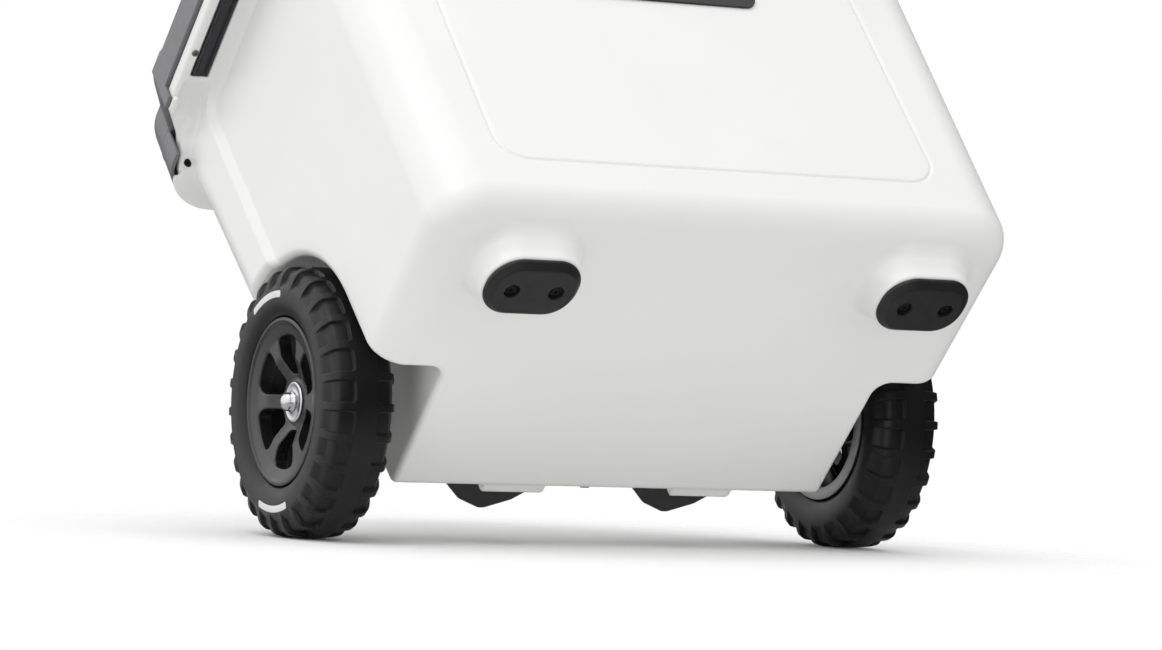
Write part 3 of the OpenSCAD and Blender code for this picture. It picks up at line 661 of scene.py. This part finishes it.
def lid_field(x, y, z):
    """Lid with a sunken top, side tabs, rear skirt, hinge barrels and the ears for its latches."""
    ax = np.abs(x)
    plan = lid_plan(x, y)
    margin, panel_y, panel_half, sink, sink_run = 44, 38, 168, 2.2, 7
    panel = plate(x, y + panel_y, LID_HALF - margin, panel_half, 30.0)
    sunk = sink * step(-panel / sink_run)
    seam_z, seam_depth, seam_width = 537, 0.8, 1.4
    seam = seam_depth * np.exp(-(((z - seam_z) / seam_width) ** 2))
    body = cut(plan + seam, LID_BOTTOM - z, 1.5)
    body = cut(body, z - LID_TOP + sunk, 11)

    tab_z = (488.4, 543)
    tab = cut(cut(span(ax, TAB_X, LID_HALF), span(y, 63, TAB_END - 1), 2), span(z, *tab_z), 2)
    tab = np.maximum(tab, np.where(z < LID_BOTTOM, TAB_START - y, -9.0))
    body = join(body, tab, 1.5)

    skirt_wall = 4
    around = np.hypot(np.maximum(ax - CORNER_X, 0), y - CORNER_Y)
    roll = np.hypot(np.maximum(y - HINGE_Y, 0), np.maximum(HINGE_Z - z, 0)) - BARREL_R
    wall = span(around, LID_CORNER_R - skirt_wall, LID_CORNER_R)
    skirt = cut(wall, np.maximum(roll, z - LID_BOTTOM - 3), 1)
    skirt = np.maximum(skirt, np.maximum(CORNER_Y - 10 - y, BAY_X - ax))
    body = join(body, skirt, 1.5)

    barrel_x = (187, 275)
    barrel = np.hypot(y - HINGE_Y, z - HINGE_Z) - BARREL_R
    web = np.maximum(span(y, HINGE_Y, LID_BACK), span(z, HINGE_Z, LID_BOTTOM + 2))
    body = np.minimum(body, cut(np.minimum(barrel, web), span(ax, *barrel_x), 1))

    ear_r, ear_z, ear_out, play = 7, (517, 531), 7.4, 0.4
    from_latch = np.abs(ax - LATCH_X)
    ear = np.minimum(
        np.hypot(y - LATCH_Y, z - LATCH_Z) - ear_r,
        np.maximum(span(y, LATCH_Y, LID_FRONT + 6), span(z, *ear_z)),
    )
    ear = cut(ear, span(from_latch, LATCH_HALF + play, LATCH_HALF + ear_out), 1)
    body = join(body, ear, 2)
    notch = cut(from_latch - LATCH_HALF - play, np.maximum(y - LID_FRONT - 2, LATCH_Z - 7.5 - z), 1)
    body = cut(body, -notch, 1)

    front_y, tab_y, rear_y = LID_FRONT + 12, TAB_END - 6, 153.8
    wide = plate(x, y - (front_y + tab_y) / 2, LID_HALF - 14, (TAB_END - 18 - LID_FRONT) / 2, 24)
    deep = plate(x, y - (LID_FRONT + 44 + rear_y) / 2, 300, (rear_y - LID_FRONT - 44) / 2, 24)
    pocket_top = 509
    body = np.maximum(body, ax - LID_HALF)
    return np.maximum(body, -np.maximum(np.minimum(wide, deep), z - pocket_top))


def make_lid():
    coarse = 3.0
    fine = 1.4
    ears, side = (124, 176, fine), (342, LID_HALF, fine)
    front, tabs, rear = (-258, -242, fine), (60, 98, fine), (176, 204, fine)
    axes = (
        mirrored(ruler(0, LID_HALF + 4, coarse, [ears, side])),
        ruler(-258, 204, coarse, [front, tabs, rear]),
        ruler(464, LID_TOP + 4, fine),
    )
    obj = moulded("lid_skin", lid_field, axes, keep=0.4)
    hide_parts("lid_shell", "lid_foam")
    return obj


def latch_field(x, y, z):
    """Right rubber latch: a strap round its pin, a window for the keeper and a wide pull."""
    u = x - LATCH_X
    across = np.abs(u)
    back = LATCH_Y + 0.5
    front = LATCH_Y - 6.5 + 1.6 * step((z - 470) / 40)
    strap = cut(cut(span(y, front, back), across - LATCH_HALF, 2), span(z, 450, LATCH_Z), 1.5)
    eye = cut(np.hypot(y - LATCH_Y, z - LATCH_Z) - 6.5, across - LATCH_HALF, 1.5)
    body = join(strap, eye, 3)

    pull_half, pull_low, pull_high = LATCH_HALF + 12, 442, 458
    pull = cut(cut(span(y, LATCH_Y - 7.5, back), across - pull_half, 3), span(z, pull_low, pull_high), 3)
    bead = cut(np.hypot(y - LATCH_Y + 5, z - pull_low) - 4.5, across - pull_half, 3)
    body = join(join(body, pull, 5), bead, 2)

    window_half_x, window_half_z = 11.5, 8
    window = cut(across - window_half_x, np.abs(z - KEEPER_Z) - window_half_z, 3)
    body = cut(body, -window, 1.2)

    rib_pitch, rib_half, rib_r = 4, 20, 0.9
    ribs = np.hypot(y - LATCH_Y + 7.6, np.mod(z, rib_pitch) - rib_pitch / 2) - rib_r
    ribs = np.maximum(ribs, np.maximum(span(z, pull_low + 4, pull_high), across - rib_half))
    return cut(body, -ribs, 0.4)


def make_latch():
    gap = 0.9
    axes = (
        ruler(LATCH_X - 33, LATCH_X + 33, gap),
        ruler(LATCH_Y - 13, LATCH_Y + 9, gap),
        ruler(434, 534, gap),
    )
    return moulded("latch_right_strap", latch_field, axes, keep=0.5, rounds=1)


# ---------------------------------------------------------------- pull handle
def handle_field(x, y, z):
    """Grip of the pull handle: a soft bar between two sockets, with a slot for the button."""
    v = y - TUBE_Y
    from_tube = np.hypot(np.abs(x) - TUBE_X, v)
    bar_half, bar_low, socket_r, bore_r = 10.5, 456, 15, 8.25
    swell = 1.2 * np.cos(np.clip(x / TUBE_X, -1, 1) * math.pi)
    bar = cut(cut(np.abs(v) - bar_half - swell, span(z, bar_low, GRIP_HIGH.z), 8), np.abs(x) - TUBE_X, 2)
    socket = cut(from_tube - socket_r, span(z, GRIP_LOW.z, GRIP_HIGH.z), 5)
    body = join(bar, socket, 7)
    bore = np.maximum(from_tube - bore_r, z - 464)
    slot_half_x, slot_half_y, slot_depth = 24, 7, 10
    slot = np.maximum(np.abs(x) - slot_half_x, np.abs(v) - slot_half_y)
    slot = cut(slot, GRIP_HIGH.z - slot_depth - z, 0.5)
    flute_pitch, flute_z, flute_r, flute_end = 11, 455, 2.6, 71
    flutes = np.hypot(z - flute_z, np.mod(x, flute_pitch) - flute_pitch / 2) - flute_r
    flutes = np.maximum(flutes, np.abs(x) - flute_end)
    return np.maximum(cut(np.maximum(body, -bore), -flutes, 1), -slot)


def make_handle():
    gap = 1.3
    axes = (
        mirrored(ruler(0, 120, gap)),
        ruler(TUBE_Y - 18, TUBE_Y + 18, gap),
        ruler(GRIP_LOW.z - 3, GRIP_HIGH.z + 4, gap),
    )
    obj = moulded("handle_grip_cast", handle_field, axes, keep=0.5)
    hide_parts("handle_grip")
    return obj


def bracket_field(x, y, z):
    """Right foot of the handle: wings on the wall that slope out to a blunt nose round the tube."""
    u, v = np.abs(x - TUBE_X), y - BRACKET_LOW.y
    nose = BRACKET_HIGH.y - BRACKET_LOW.y
    wing_half, wing_depth, nose_half, wall, tube_r = 53, 39, 16.5, 8, 12.7
    wing = (u - wing_half) * 0.431 + (v - wing_depth) * 0.9025
    cheek = (u - nose_half + v - nose) * 0.7071
    plan = cut(cut(cut(u - wing_half, v - nose, 1.5), wing, 1), cheek, 1)
    body = cut(np.maximum(plan, -v), span(z, BRACKET_LOW.z, BRACKET_HIGH.z), 1.5)
    sunk = cut(span(u, 26, 49), span(z, BRACKET_LOW.z + wall, BRACKET_HIGH.z - wall), 3)
    body = cut(body, -np.maximum(sunk, wall - v), 1.5)
    tube = np.maximum(np.hypot(u, y - TUBE_Y) - tube_r, BRACKET_LOW.z + wall - z)
    return np.maximum(body, -tube)


def make_bracket():
    gap = 1.2
    axes = (
        ruler(BRACKET_LOW.x - 3, BRACKET_HIGH.x + 3, gap),
        ruler(BRACKET_LOW.y - 3, BRACKET_HIGH.y + 3, gap),
        ruler(BRACKET_LOW.z - 3, BRACKET_HIGH.z + 3, gap),
    )
    return moulded("lower_bracket_right_cast", bracket_field, axes, keep=0.5, rounds=1)


# ---------------------------------------------------------------- turned parts on the axle
def lathe(name, outline, steps=96):
    """A ring turned about the axle from (across, radius) points, on the right-hand side."""
    across, radius = np.array(outline, float).T
    angle = np.arange(steps) * 2 * math.pi / steps
    points = around_axle(across[None] + np.zeros((steps, 1)), radius[None], angle[:, None])
    return mesh_object(name, points, sheet(steps, len(outline), True, True))


def corner_screw():
    """Screw head in the sloping underside of the right rear corner, with its own dark well."""
    seat_x, seat_y, proud = 323.5, 145.3, 1.0
    head_r, head_depth = 4.6, 2.5
    outline = [
        (0.0, 0.1), (0.0, 1.6), (-1.2, 2.0), (-1.2, 3.0), (-0.2, 3.5), (0.6, 4.0), (0.9, head_r),
        (head_depth, head_r), (head_depth, 0.1),
    ]
    obj = lathe("corner_screw_right_head", outline, steps=32)
    levels = np.arange(450.0, 485.0, 0.1)
    column = np.stack([np.full_like(levels, seat_x), np.full_like(levels, seat_y), levels], 1)
    inside = tub_field(*column.T) < 0
    seat = column[np.argmax(inside)]
    facing = Vector(gradient(tub_field, seat[None])[0]).normalized()
    seat += np.array(facing) * proud
    turn = Vector((-1, 0, 0)).rotation_difference(facing).to_matrix().to_4x4()
    from_axle = Matrix.Translation(-Vector((0, WHEEL_Y, WHEEL_Z)) / MM)
    obj.data.transform(Matrix.Translation(Vector(seat) / MM) @ turn @ from_axle)
    return obj


def axle_washer():
    """Washer with a raised ring inside its rim and another round its bore."""
    start = WHEEL_X + 15.3
    face, floor = start + 2.7, start + 2.2
    bore_r, rim_r = 8.1, 18.9
    return lathe("axle_washer_right_turned", [
        (start, bore_r), (start, rim_r), (start + 0.5, 19.4), (start + 2.0, 19.4), (start + 2.6, 18.6),
        (face, 16.8), (floor, 15.9), (floor, 11.0), (face, 10.2), (face, bore_r),
    ])


def hex_nut():
    """Domed nut: six flats that run into a round cap, on a thin collar."""
    base = NUT_HIGH.x - 12
    along = np.array([0.0, 0.0, 1.4, 1.9, 2.1, 6.0, 6.8, 8.2, 9.6, 10.8, 11.6, 12.0, 12.0])
    radius = np.array([8.2, 9.8, 9.8, 9.4, 8.9, 8.9, 8.3, 7.6, 6.4, 4.8, 2.8, 0.9, 0.05])
    flatness = np.array([0, 0, 0, 0, 1, 1, 0.7, 0.2, 0, 0, 0, 0, 0])
    steps, sector, corner_cut = 96, math.pi / 3, 1.1
    angle = (np.arange(steps) + 0.5) * 2 * math.pi / steps
    off = np.mod(angle, sector) - sector / 2
    six = np.minimum(math.cos(sector / 2) / np.cos(off) * corner_cut, 1)
    radii = radius[None] * (1 + flatness[None] * (six[:, None] - 1))
    points = around_axle(base + along[None] + np.zeros_like(radii), radii, angle[:, None])
    quads = sheet(steps, len(along), True, False)
    return mesh_object("axle_nut_right_domed", points, quads)


def rim_band():
    """Grey ring on the inner end of the rim's barrel."""
    end, wall_end, deep = WHEEL_X - 33.5, WHEEL_X - 32.6, WHEEL_X - 18
    inner_r, outer_r = 69.2, 80.2
    return lathe("rim_right_band", [
        (end, inner_r), (end, outer_r), (end + 0.4, outer_r + 0.5), (wall_end, outer_r),
        (wall_end, inner_r + 0.8), (deep, inner_r + 0.8), (deep, inner_r),
    ])


def painted_sidewall_highlights():
    """Painted highlights: two pale arcs, one high at the front and one low at the rear of the left tyre's
    outer sidewall, that stand a little proud of it.
    """
    points, quads = [], []
    steps, cols, half_turn = 40, 9, 19
    inner_r, width, height, sunk = 97.5, 7.5, 0.5, 0.15
    across = np.linspace(0, 1, cols)
    radius = inner_r + width * across
    level = np.interp(radius, [93, 100.5, 108.5], [35.4, 35.9, 35.0])
    end = np.minimum(np.arange(steps), np.arange(steps)[::-1]) / 2.0
    edge = np.minimum(across, 1 - across) * 8
    rise = height * np.minimum(step(edge)[None], step(end)[:, None]) - sunk
    # Angles round the axle of the two painted highlight arcs.
    for number, middle in enumerate((119.0, -45.0)):
        angle = np.radians(middle + np.linspace(-half_turn, half_turn, steps))
        points.append(around_axle(-(WHEEL_X + level[None] + rise), radius[None], angle[:, None]))
        quads.append(sheet(steps, cols, False, False) + number * steps * cols)
    return mesh_object("tyre_left_marks", np.concatenate(points), np.concatenate(quads))


# ---------------------------------------------------------------- materials
def nodes_of(name):
    """A new material with its nodes and links."""
    material = bpy.data.materials.new(name)
    material.use_nodes = True
    return material, material.node_tree.nodes, material.node_tree.links


def moulded_material(name, colour, rough, grain=0.02, grain_mm=1.2, tone=0.03, metal=0.0, shine=0.5):
    """Plastic, rubber or metal: its own grain, uneven gloss and slight changes of tone."""
    patch_mm, gloss_mm, gloss_change = 90, 14, 0.1
    material, nodes, links = nodes_of(name)
    shader = nodes["Principled BSDF"]
    shader.inputs["Metallic"].default_value = metal
    shader.inputs["Specular IOR Level"].default_value = shine
    place = nodes.new("ShaderNodeTexCoord")

    def noise(size_mm, detail):
        n = nodes.new("ShaderNodeTexNoise")
        n.inputs["Scale"].default_value = MM / size_mm
        n.inputs["Detail"].default_value = detail
        links.new(place.outputs["Object"], n.inputs["Vector"])
        return n.outputs["Fac"]

    def levels(value, low, high):
        m = nodes.new("ShaderNodeMapRange")
        m.inputs["From Min"].default_value = 0.3
        m.inputs["From Max"].default_value = 0.7
        m.inputs["To Min"].default_value = low
        m.inputs["To Max"].default_value = high
        links.new(value, m.inputs["Value"])
        return m.outputs["Result"]

    mix = nodes.new("ShaderNodeMix")
    mix.data_type = "RGBA"
    mix.inputs["A"].default_value = [c * (1 - tone) for c in colour] + [1]
    mix.inputs["B"].default_value = [min(c * (1 + tone), 1) for c in colour] + [1]
    links.new(levels(noise(patch_mm, 3), 0, 1), mix.inputs["Factor"])
    links.new(mix.outputs["Result"], shader.inputs["Base Color"])
    gloss = levels(noise(gloss_mm, 4), rough * (1 - gloss_change), rough * (1 + gloss_change))
    links.new(gloss, shader.inputs["Roughness"])
    bump = nodes.new("ShaderNodeBump")
    bump.inputs["Strength"].default_value = 1.0
    bump.inputs["Distance"].default_value = grain / MM
    links.new(noise(grain_mm, 2), bump.inputs["Height"])
    links.new(bump.outputs["Normal"], shader.inputs["Normal"])
    return material


# Slot: name, colour, roughness, depth and size of the grain in millimetres, change of tone.
MATERIALS = {
    "shell_white": moulded_material("moulded_white", (0.83, 0.83, 0.81), 0.34, 0.012, 1.6, 0.01),
    "liner_white": moulded_material("liner_white", (0.82, 0.82, 0.80), 0.38, 0.012, 1.6, 0.012),
    "foam": moulded_material("foam_tan", (0.72, 0.62, 0.36), 0.9, 0.3, 1.5, 0.08),
    "lid_grey": moulded_material("moulded_grey", (0.15, 0.15, 0.16), 0.42, 0.02, 1.2, 0.03),
    "pad_rubber": moulded_material("pad_rubber", (0.011, 0.011, 0.0113), 0.55, 0.02, 0.8, 0.08, shine=0.35),
    "steel": moulded_material("screw_steel", (0.45, 0.45, 0.47), 0.3, 0.004, 0.5, 0.05, metal=1.0),
    "grip_rubber": moulded_material("grip_rubber", (0.015, 0.015, 0.02), 0.5, 0.03, 0.8, 0.06),
    "black_plastic": moulded_material("black_plastic", (0.012, 0.012, 0.0125), 0.36, 0.02, 0.9, 0.06),
    "latch_rubber": moulded_material("latch_rubber", (0.02, 0.02, 0.021), 0.5, 0.02, 0.9, 0.06),
    "chrome": moulded_material("bright_plate", (0.42, 0.42, 0.43), 0.2, 0.003, 1.0, 0.03, metal=1.0),
    "axle_steel": moulded_material("axle_steel", (0.5, 0.5, 0.52), 0.3, 0.004, 0.8, 0.05, metal=1.0),
    "tyre_rubber": moulded_material("tyre_rubber", (0.006, 0.006, 0.0062), 0.4, 0.02, 0.9, 0.1, shine=0.24),
    "rim_plastic": moulded_material("rim_plastic", (0.009, 0.009, 0.0095), 0.3, 0.02, 0.9, 0.06, shine=0.42),
    "bush_nylon": moulded_material("bush_nylon", (0.7, 0.7, 0.66), 0.5, 0.01, 1.0, 0.03),
    "seal_rubber": moulded_material("seal_rubber", (0.03, 0.03, 0.032), 0.6, 0.02, 0.8, 0.05),
    "tube_metal": moulded_material("tube_metal", (0.5, 0.5, 0.52), 0.3, 0.003, 0.5, 0.04, metal=1.0),
    "screw_dark": moulded_material("screw_dark", (0.006, 0.006, 0.006), 0.5, 0.004, 0.5, 0.05, shine=0.1),
    "screw_head": moulded_material("screw_head", (0.12, 0.12, 0.12), 0.35, 0.004, 0.5, 0.05, metal=1.0),
    # Pale grey of the painted highlights on the left tyre's sidewall.
    "tyre_mark": moulded_material("tyre_mark", (0.7, 0.7, 0.7), 0.5, 0.01, 0.8, 0.02),
    "band_grey": moulded_material("band_grey", (0.3, 0.3, 0.31), 0.4, 0.01, 0.9, 0.05),
    "button_grey": moulded_material("button_grey", (0.16, 0.16, 0.17), 0.45, 0.02, 0.9, 0.04),
}
SLOT_OF = {s["node"]: s["material_slot"] for s in frame["record"]["subparts"]}


def wear(obj, slot):
    """Gives a piece one of the record's finishes."""
    obj.data.materials.clear()
    obj.data.materials.append(MATERIALS[slot])


# Bevel widths in millimetres.
BEVELS = {
    "latch_keepers": 1.0, "upper_bracket": 1.5, "release_button": 1.0, "front_badge": 0.6, "liner": 2.0,
    "drain_fitting": 0.8, "drain_plug": 1.2, "middle_collars": 1.0, "wheel_spacers": 0.8,
}
FINE_BEVEL = 0.3
OTHER_FINISH = {"foot_screws": "screw_dark", "grip_screws": "screw_head", "keeper_screws": "screw_head"}


def dress_cad_nodes():
    """Finishes for the CAD nodes that stay, with their hard edges rounded."""
    for name, node in frame["nodes"].items():
        node.data.materials.clear()
        node.data.materials.append(MATERIALS[OTHER_FINISH.get(name, SLOT_OF[name])])
        for face in node.data.polygons:
            face.use_smooth = True
        weld = node.modifiers.new("weld", "WELD")
        weld.merge_threshold = 0.01 / MM
        width = BEVELS.get(name, FINE_BEVEL)
        bevel = node.modifiers.new("edges", "BEVEL")
        bevel.width = width / MM
        bevel.segments = 3
        bevel.limit_method = "ANGLE"
        bevel.angle_limit = math.radians(32)
        bevel.use_clamp_overlap = True
        normals = node.modifiers.new("normals", "WEIGHTED_NORMAL")
        normals.keep_sharp = True


# ---------------------------------------------------------------- build
def both_sides(piece, replaced, body):
    """Mirrors a right-hand piece, hides the CAD nodes that both copies take the place of, and hangs each
    copy on the body it rides on.

    A {side} in either name becomes right or left; replaced is None for a piece without a CAD node.
    """
    other = mirror_copy(piece, piece.name.replace("right", "left"))
    for side, made in (("right", piece), ("left", other)):
        if replaced:
            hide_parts(replaced.format(side=side))
        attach(made, body.format(side=side))


dress_cad_nodes()
tub = make_tub()
wear(tub, "shell_white")
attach(tub, "tub")

tyre, rim, pad = make_tyre(), make_rim(), make_pad()
for piece, slot, replaced, body in (
    (tyre, "tyre_rubber", "tyre_{side}", "wheel_{side}"),
    (rim, "rim_plastic", "rim_{side}", "wheel_{side}"),
    (pad, "pad_rubber", "foot_pad_{side}", "tub"),
):
    wear(piece, slot)
    both_sides(piece, replaced, body)

lid = make_lid()
wear(lid, "lid_grey")
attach(lid, "lid")

latch = make_latch()
wear(latch, "latch_rubber")
both_sides(latch, "latch_{side}", "latch_{side}")

handle = make_handle()
wear(handle, "black_plastic")
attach(handle, "handle_upper")

washer, nut = axle_washer(), hex_nut()
for piece, replaced in ((washer, "axle_washers"), (nut, "axle_nuts")):
    wear(piece, "chrome")
    both_sides(piece, replaced, "tub")

bracket = make_bracket()
wear(bracket, "black_plastic")
both_sides(bracket, "lower_bracket_{side}", "tub")

strip = make_strip()
wear(strip, "grip_rubber")
both_sides(strip, "side_grip_{side}", "tub")

screw = corner_screw()
screw.data.materials.append(MATERIALS["screw_dark"])
both_sides(screw, "hinge_screws", "tub")

band = rim_band()
band.data.materials.append(MATERIALS["band_grey"])
both_sides(band, None, "wheel_{side}")

# Painted highlights: pale arcs on the left tyre's outer sidewall.
marks = painted_sidewall_highlights()
marks.data.materials.append(MATERIALS["tyre_mark"])
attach(marks, "wheel_left")


# ---------------------------------------------------------------- camera, light, floor
RIGHT = Vector((0.88600957, -0.34830606, -0.30605542))
DOWN = Vector((0.03730454, 0.71148486, -0.70171052))
AHEAD = Vector((0.46216383, 0.61030498, 0.6433758))
CAMERA_AT = Vector((-2.07825, -2.65629, -2.69267))
UP_IN_VIEW = Vector((0.0, -0.723, 0.691))
SENSOR_MM, LENS_MM = 36, 142.645
LIGHT_BELOW, LIGHT_ABOVE = 0.62, 1.12
SHINE_DARK, SHINE_BRIGHT = 0.05, 2.0
FLOOR_WHITE, FLOOR_SOLID_M, FLOOR_END_M, FLOOR_HALF_M = 0.95, 0.3, 0.74, 2.0
FLOOR_SHIFT_M = 0.08
MIDDLE = Vector((0, 0, 0.27))


def make_camera():
    """The camera, below the cooler and in front of it."""
    data = bpy.data.cameras.new("camera")
    data.sensor_width = SENSOR_MM
    data.lens = LENS_MM
    data.clip_start, data.clip_end = 0.1, 50
    obj = linked("camera", data)
    turn = Matrix((RIGHT, -DOWN, -AHEAD)).transposed()
    obj.matrix_world = Matrix.Translation(CAMERA_AT) @ turn.to_4x4()
    bpy.context.scene.camera = obj


def make_world():
    """White behind the object; its light fades from above to below, and reflections see a contrast."""
    world = bpy.data.worlds.new("studio")
    bpy.context.scene.world = world
    world.use_nodes = True
    nodes, links = world.node_tree.nodes, world.node_tree.links
    place = nodes.new("ShaderNodeTexCoord")

    def along(direction):
        dot = nodes.new("ShaderNodeVectorMath")
        dot.operation = "DOT_PRODUCT"
        dot.inputs[1].default_value = direction
        links.new(place.outputs["Generated"], dot.inputs[0])
        return dot.outputs["Value"]

    def strength(value, start, end, low, high, kind):
        m = nodes.new("ShaderNodeMapRange")
        m.interpolation_type = kind
        m.inputs["From Min"].default_value = start
        m.inputs["From Max"].default_value = end
        m.inputs["To Min"].default_value = low
        m.inputs["To Max"].default_value = high
        links.new(value, m.inputs["Value"])
        return m.outputs["Result"]

    bright_side = (UP_IN_VIEW * 0.75 - RIGHT * 0.6 - AHEAD * 0.25).normalized()
    soft = strength(along(UP_IN_VIEW), -1, 1, LIGHT_BELOW, LIGHT_ABOVE, "LINEAR")
    reflected = strength(along(bright_side), -0.1, 0.75, SHINE_DARK, SHINE_BRIGHT, "SMOOTHSTEP")
    rays = nodes.new("ShaderNodeLightPath")
    level = nodes.new("ShaderNodeMix")
    links.new(rays.outputs["Is Glossy Ray"], level.inputs["Factor"])
    links.new(soft, level.inputs["A"])
    links.new(reflected, level.inputs["B"])
    lit = nodes["Background"]
    lit.inputs["Color"].default_value = (1, 1, 1, 1)
    links.new(level.outputs["Result"], lit.inputs["Strength"])
    seen = nodes.new("ShaderNodeBackground")
    seen.inputs["Strength"].default_value = 1.0
    seen.inputs["Color"].default_value = (1, 1, 1, 1)
    mix = nodes.new("ShaderNodeMixShader")
    links.new(rays.outputs["Is Camera Ray"], mix.inputs[0])
    links.new(lit.outputs[0], mix.inputs[1])
    links.new(seen.outputs[0], mix.inputs[2])
    links.new(mix.outputs[0], nodes["World Output"].inputs["Surface"])


def area_light(name, direction, distance, size, power):
    """A soft lamp that shines at the cooler from a direction."""
    data = bpy.data.lights.new(name, "AREA")
    data.shape = "DISK"
    data.size = size
    data.energy = power
    obj = linked(name, data)
    away = Vector(direction).normalized()
    obj.location = MIDDLE + away * distance
    obj.rotation_mode = "QUATERNION"
    obj.rotation_quaternion = (-away).to_track_quat("-Z", "Y")


def floor_material(name, camera_only):
    """White floor that is seen from above only and fades out into the white world."""
    material, nodes, links = nodes_of(name)
    nodes.remove(nodes["Principled BSDF"])
    out = nodes["Material Output"]
    diffuse = nodes.new("ShaderNodeBsdfDiffuse")
    diffuse.inputs["Color"].default_value = [FLOOR_WHITE] * 3 + [1]
    clear = nodes.new("ShaderNodeBsdfTransparent")
    place = nodes.new("ShaderNodeTexCoord")
    length = nodes.new("ShaderNodeVectorMath")
    length.operation = "LENGTH"
    links.new(place.outputs["Object"], length.inputs[0])
    fade = nodes.new("ShaderNodeMapRange")
    fade.interpolation_type = "SMOOTHSTEP"
    fade.inputs["From Min"].default_value = FLOOR_SOLID_M
    fade.inputs["From Max"].default_value = FLOOR_END_M
    links.new(length.outputs["Value"], fade.inputs["Value"])
    back = nodes.new("ShaderNodeNewGeometry")

    def larger(a, b):
        m = nodes.new("ShaderNodeMath")
        m.operation = "MAXIMUM"
        links.new(a, m.inputs[0])
        links.new(b, m.inputs[1])
        return m.outputs["Value"]

    hidden = larger(fade.outputs["Result"], back.outputs["Backfacing"])
    if camera_only:
        path = nodes.new("ShaderNodeLightPath")
        other = nodes.new("ShaderNodeMath")
        other.operation = "SUBTRACT"
        other.inputs[0].default_value = 1
        links.new(path.outputs["Is Camera Ray"], other.inputs[1])
        hidden = larger(hidden, other.outputs["Value"])
    mix = nodes.new("ShaderNodeMixShader")
    links.new(hidden, mix.inputs[0])
    links.new(diffuse.outputs[0], mix.inputs[1])
    links.new(clear.outputs[0], mix.inputs[2])
    links.new(mix.outputs[0], out.inputs["Surface"])
    return material


def make_floor(name, centre, up, camera_only):
    """A staged floor through a point; a camera-only one takes part in no light."""
    half = FLOOR_HALF_M
    corners = [(-half, -half, 0), (half, -half, 0), (half, half, 0), (-half, half, 0)]
    mesh = bpy.data.meshes.new(name)
    mesh.from_pydata(corners, [], [(0, 1, 2, 3)])
    mesh.materials.append(floor_material(name, camera_only))
    obj = linked(name, mesh)
    obj.rotation_mode = "QUATERNION"
    obj.location = centre
    obj.rotation_quaternion = Vector(up).to_track_quat("Z", "Y")


def touch_point():
    """Where the tyres touch the floor when the cooler is tipped back."""
    centre = Vector((0, WHEEL_Y, WHEEL_Z)) / MM
    return centre - UP_IN_VIEW.normalized() * (WHEEL_R / MM)


make_camera()
make_world()
make_floor("tipped_floor", touch_point() - Vector((FLOOR_SHIFT_M, 0, 0)), UP_IN_VIEW, False)
make_floor("level_floor", Vector((0, 0, 0)), (0, 0, 1), True)
area_light("key", UP_IN_VIEW - RIGHT * 0.5 - AHEAD * 0.6, distance=3.0, size=1.6, power=14)
bpy.context.scene.view_settings.view_transform = "Standard"
bpy.context.scene.view_settings.look = "None"
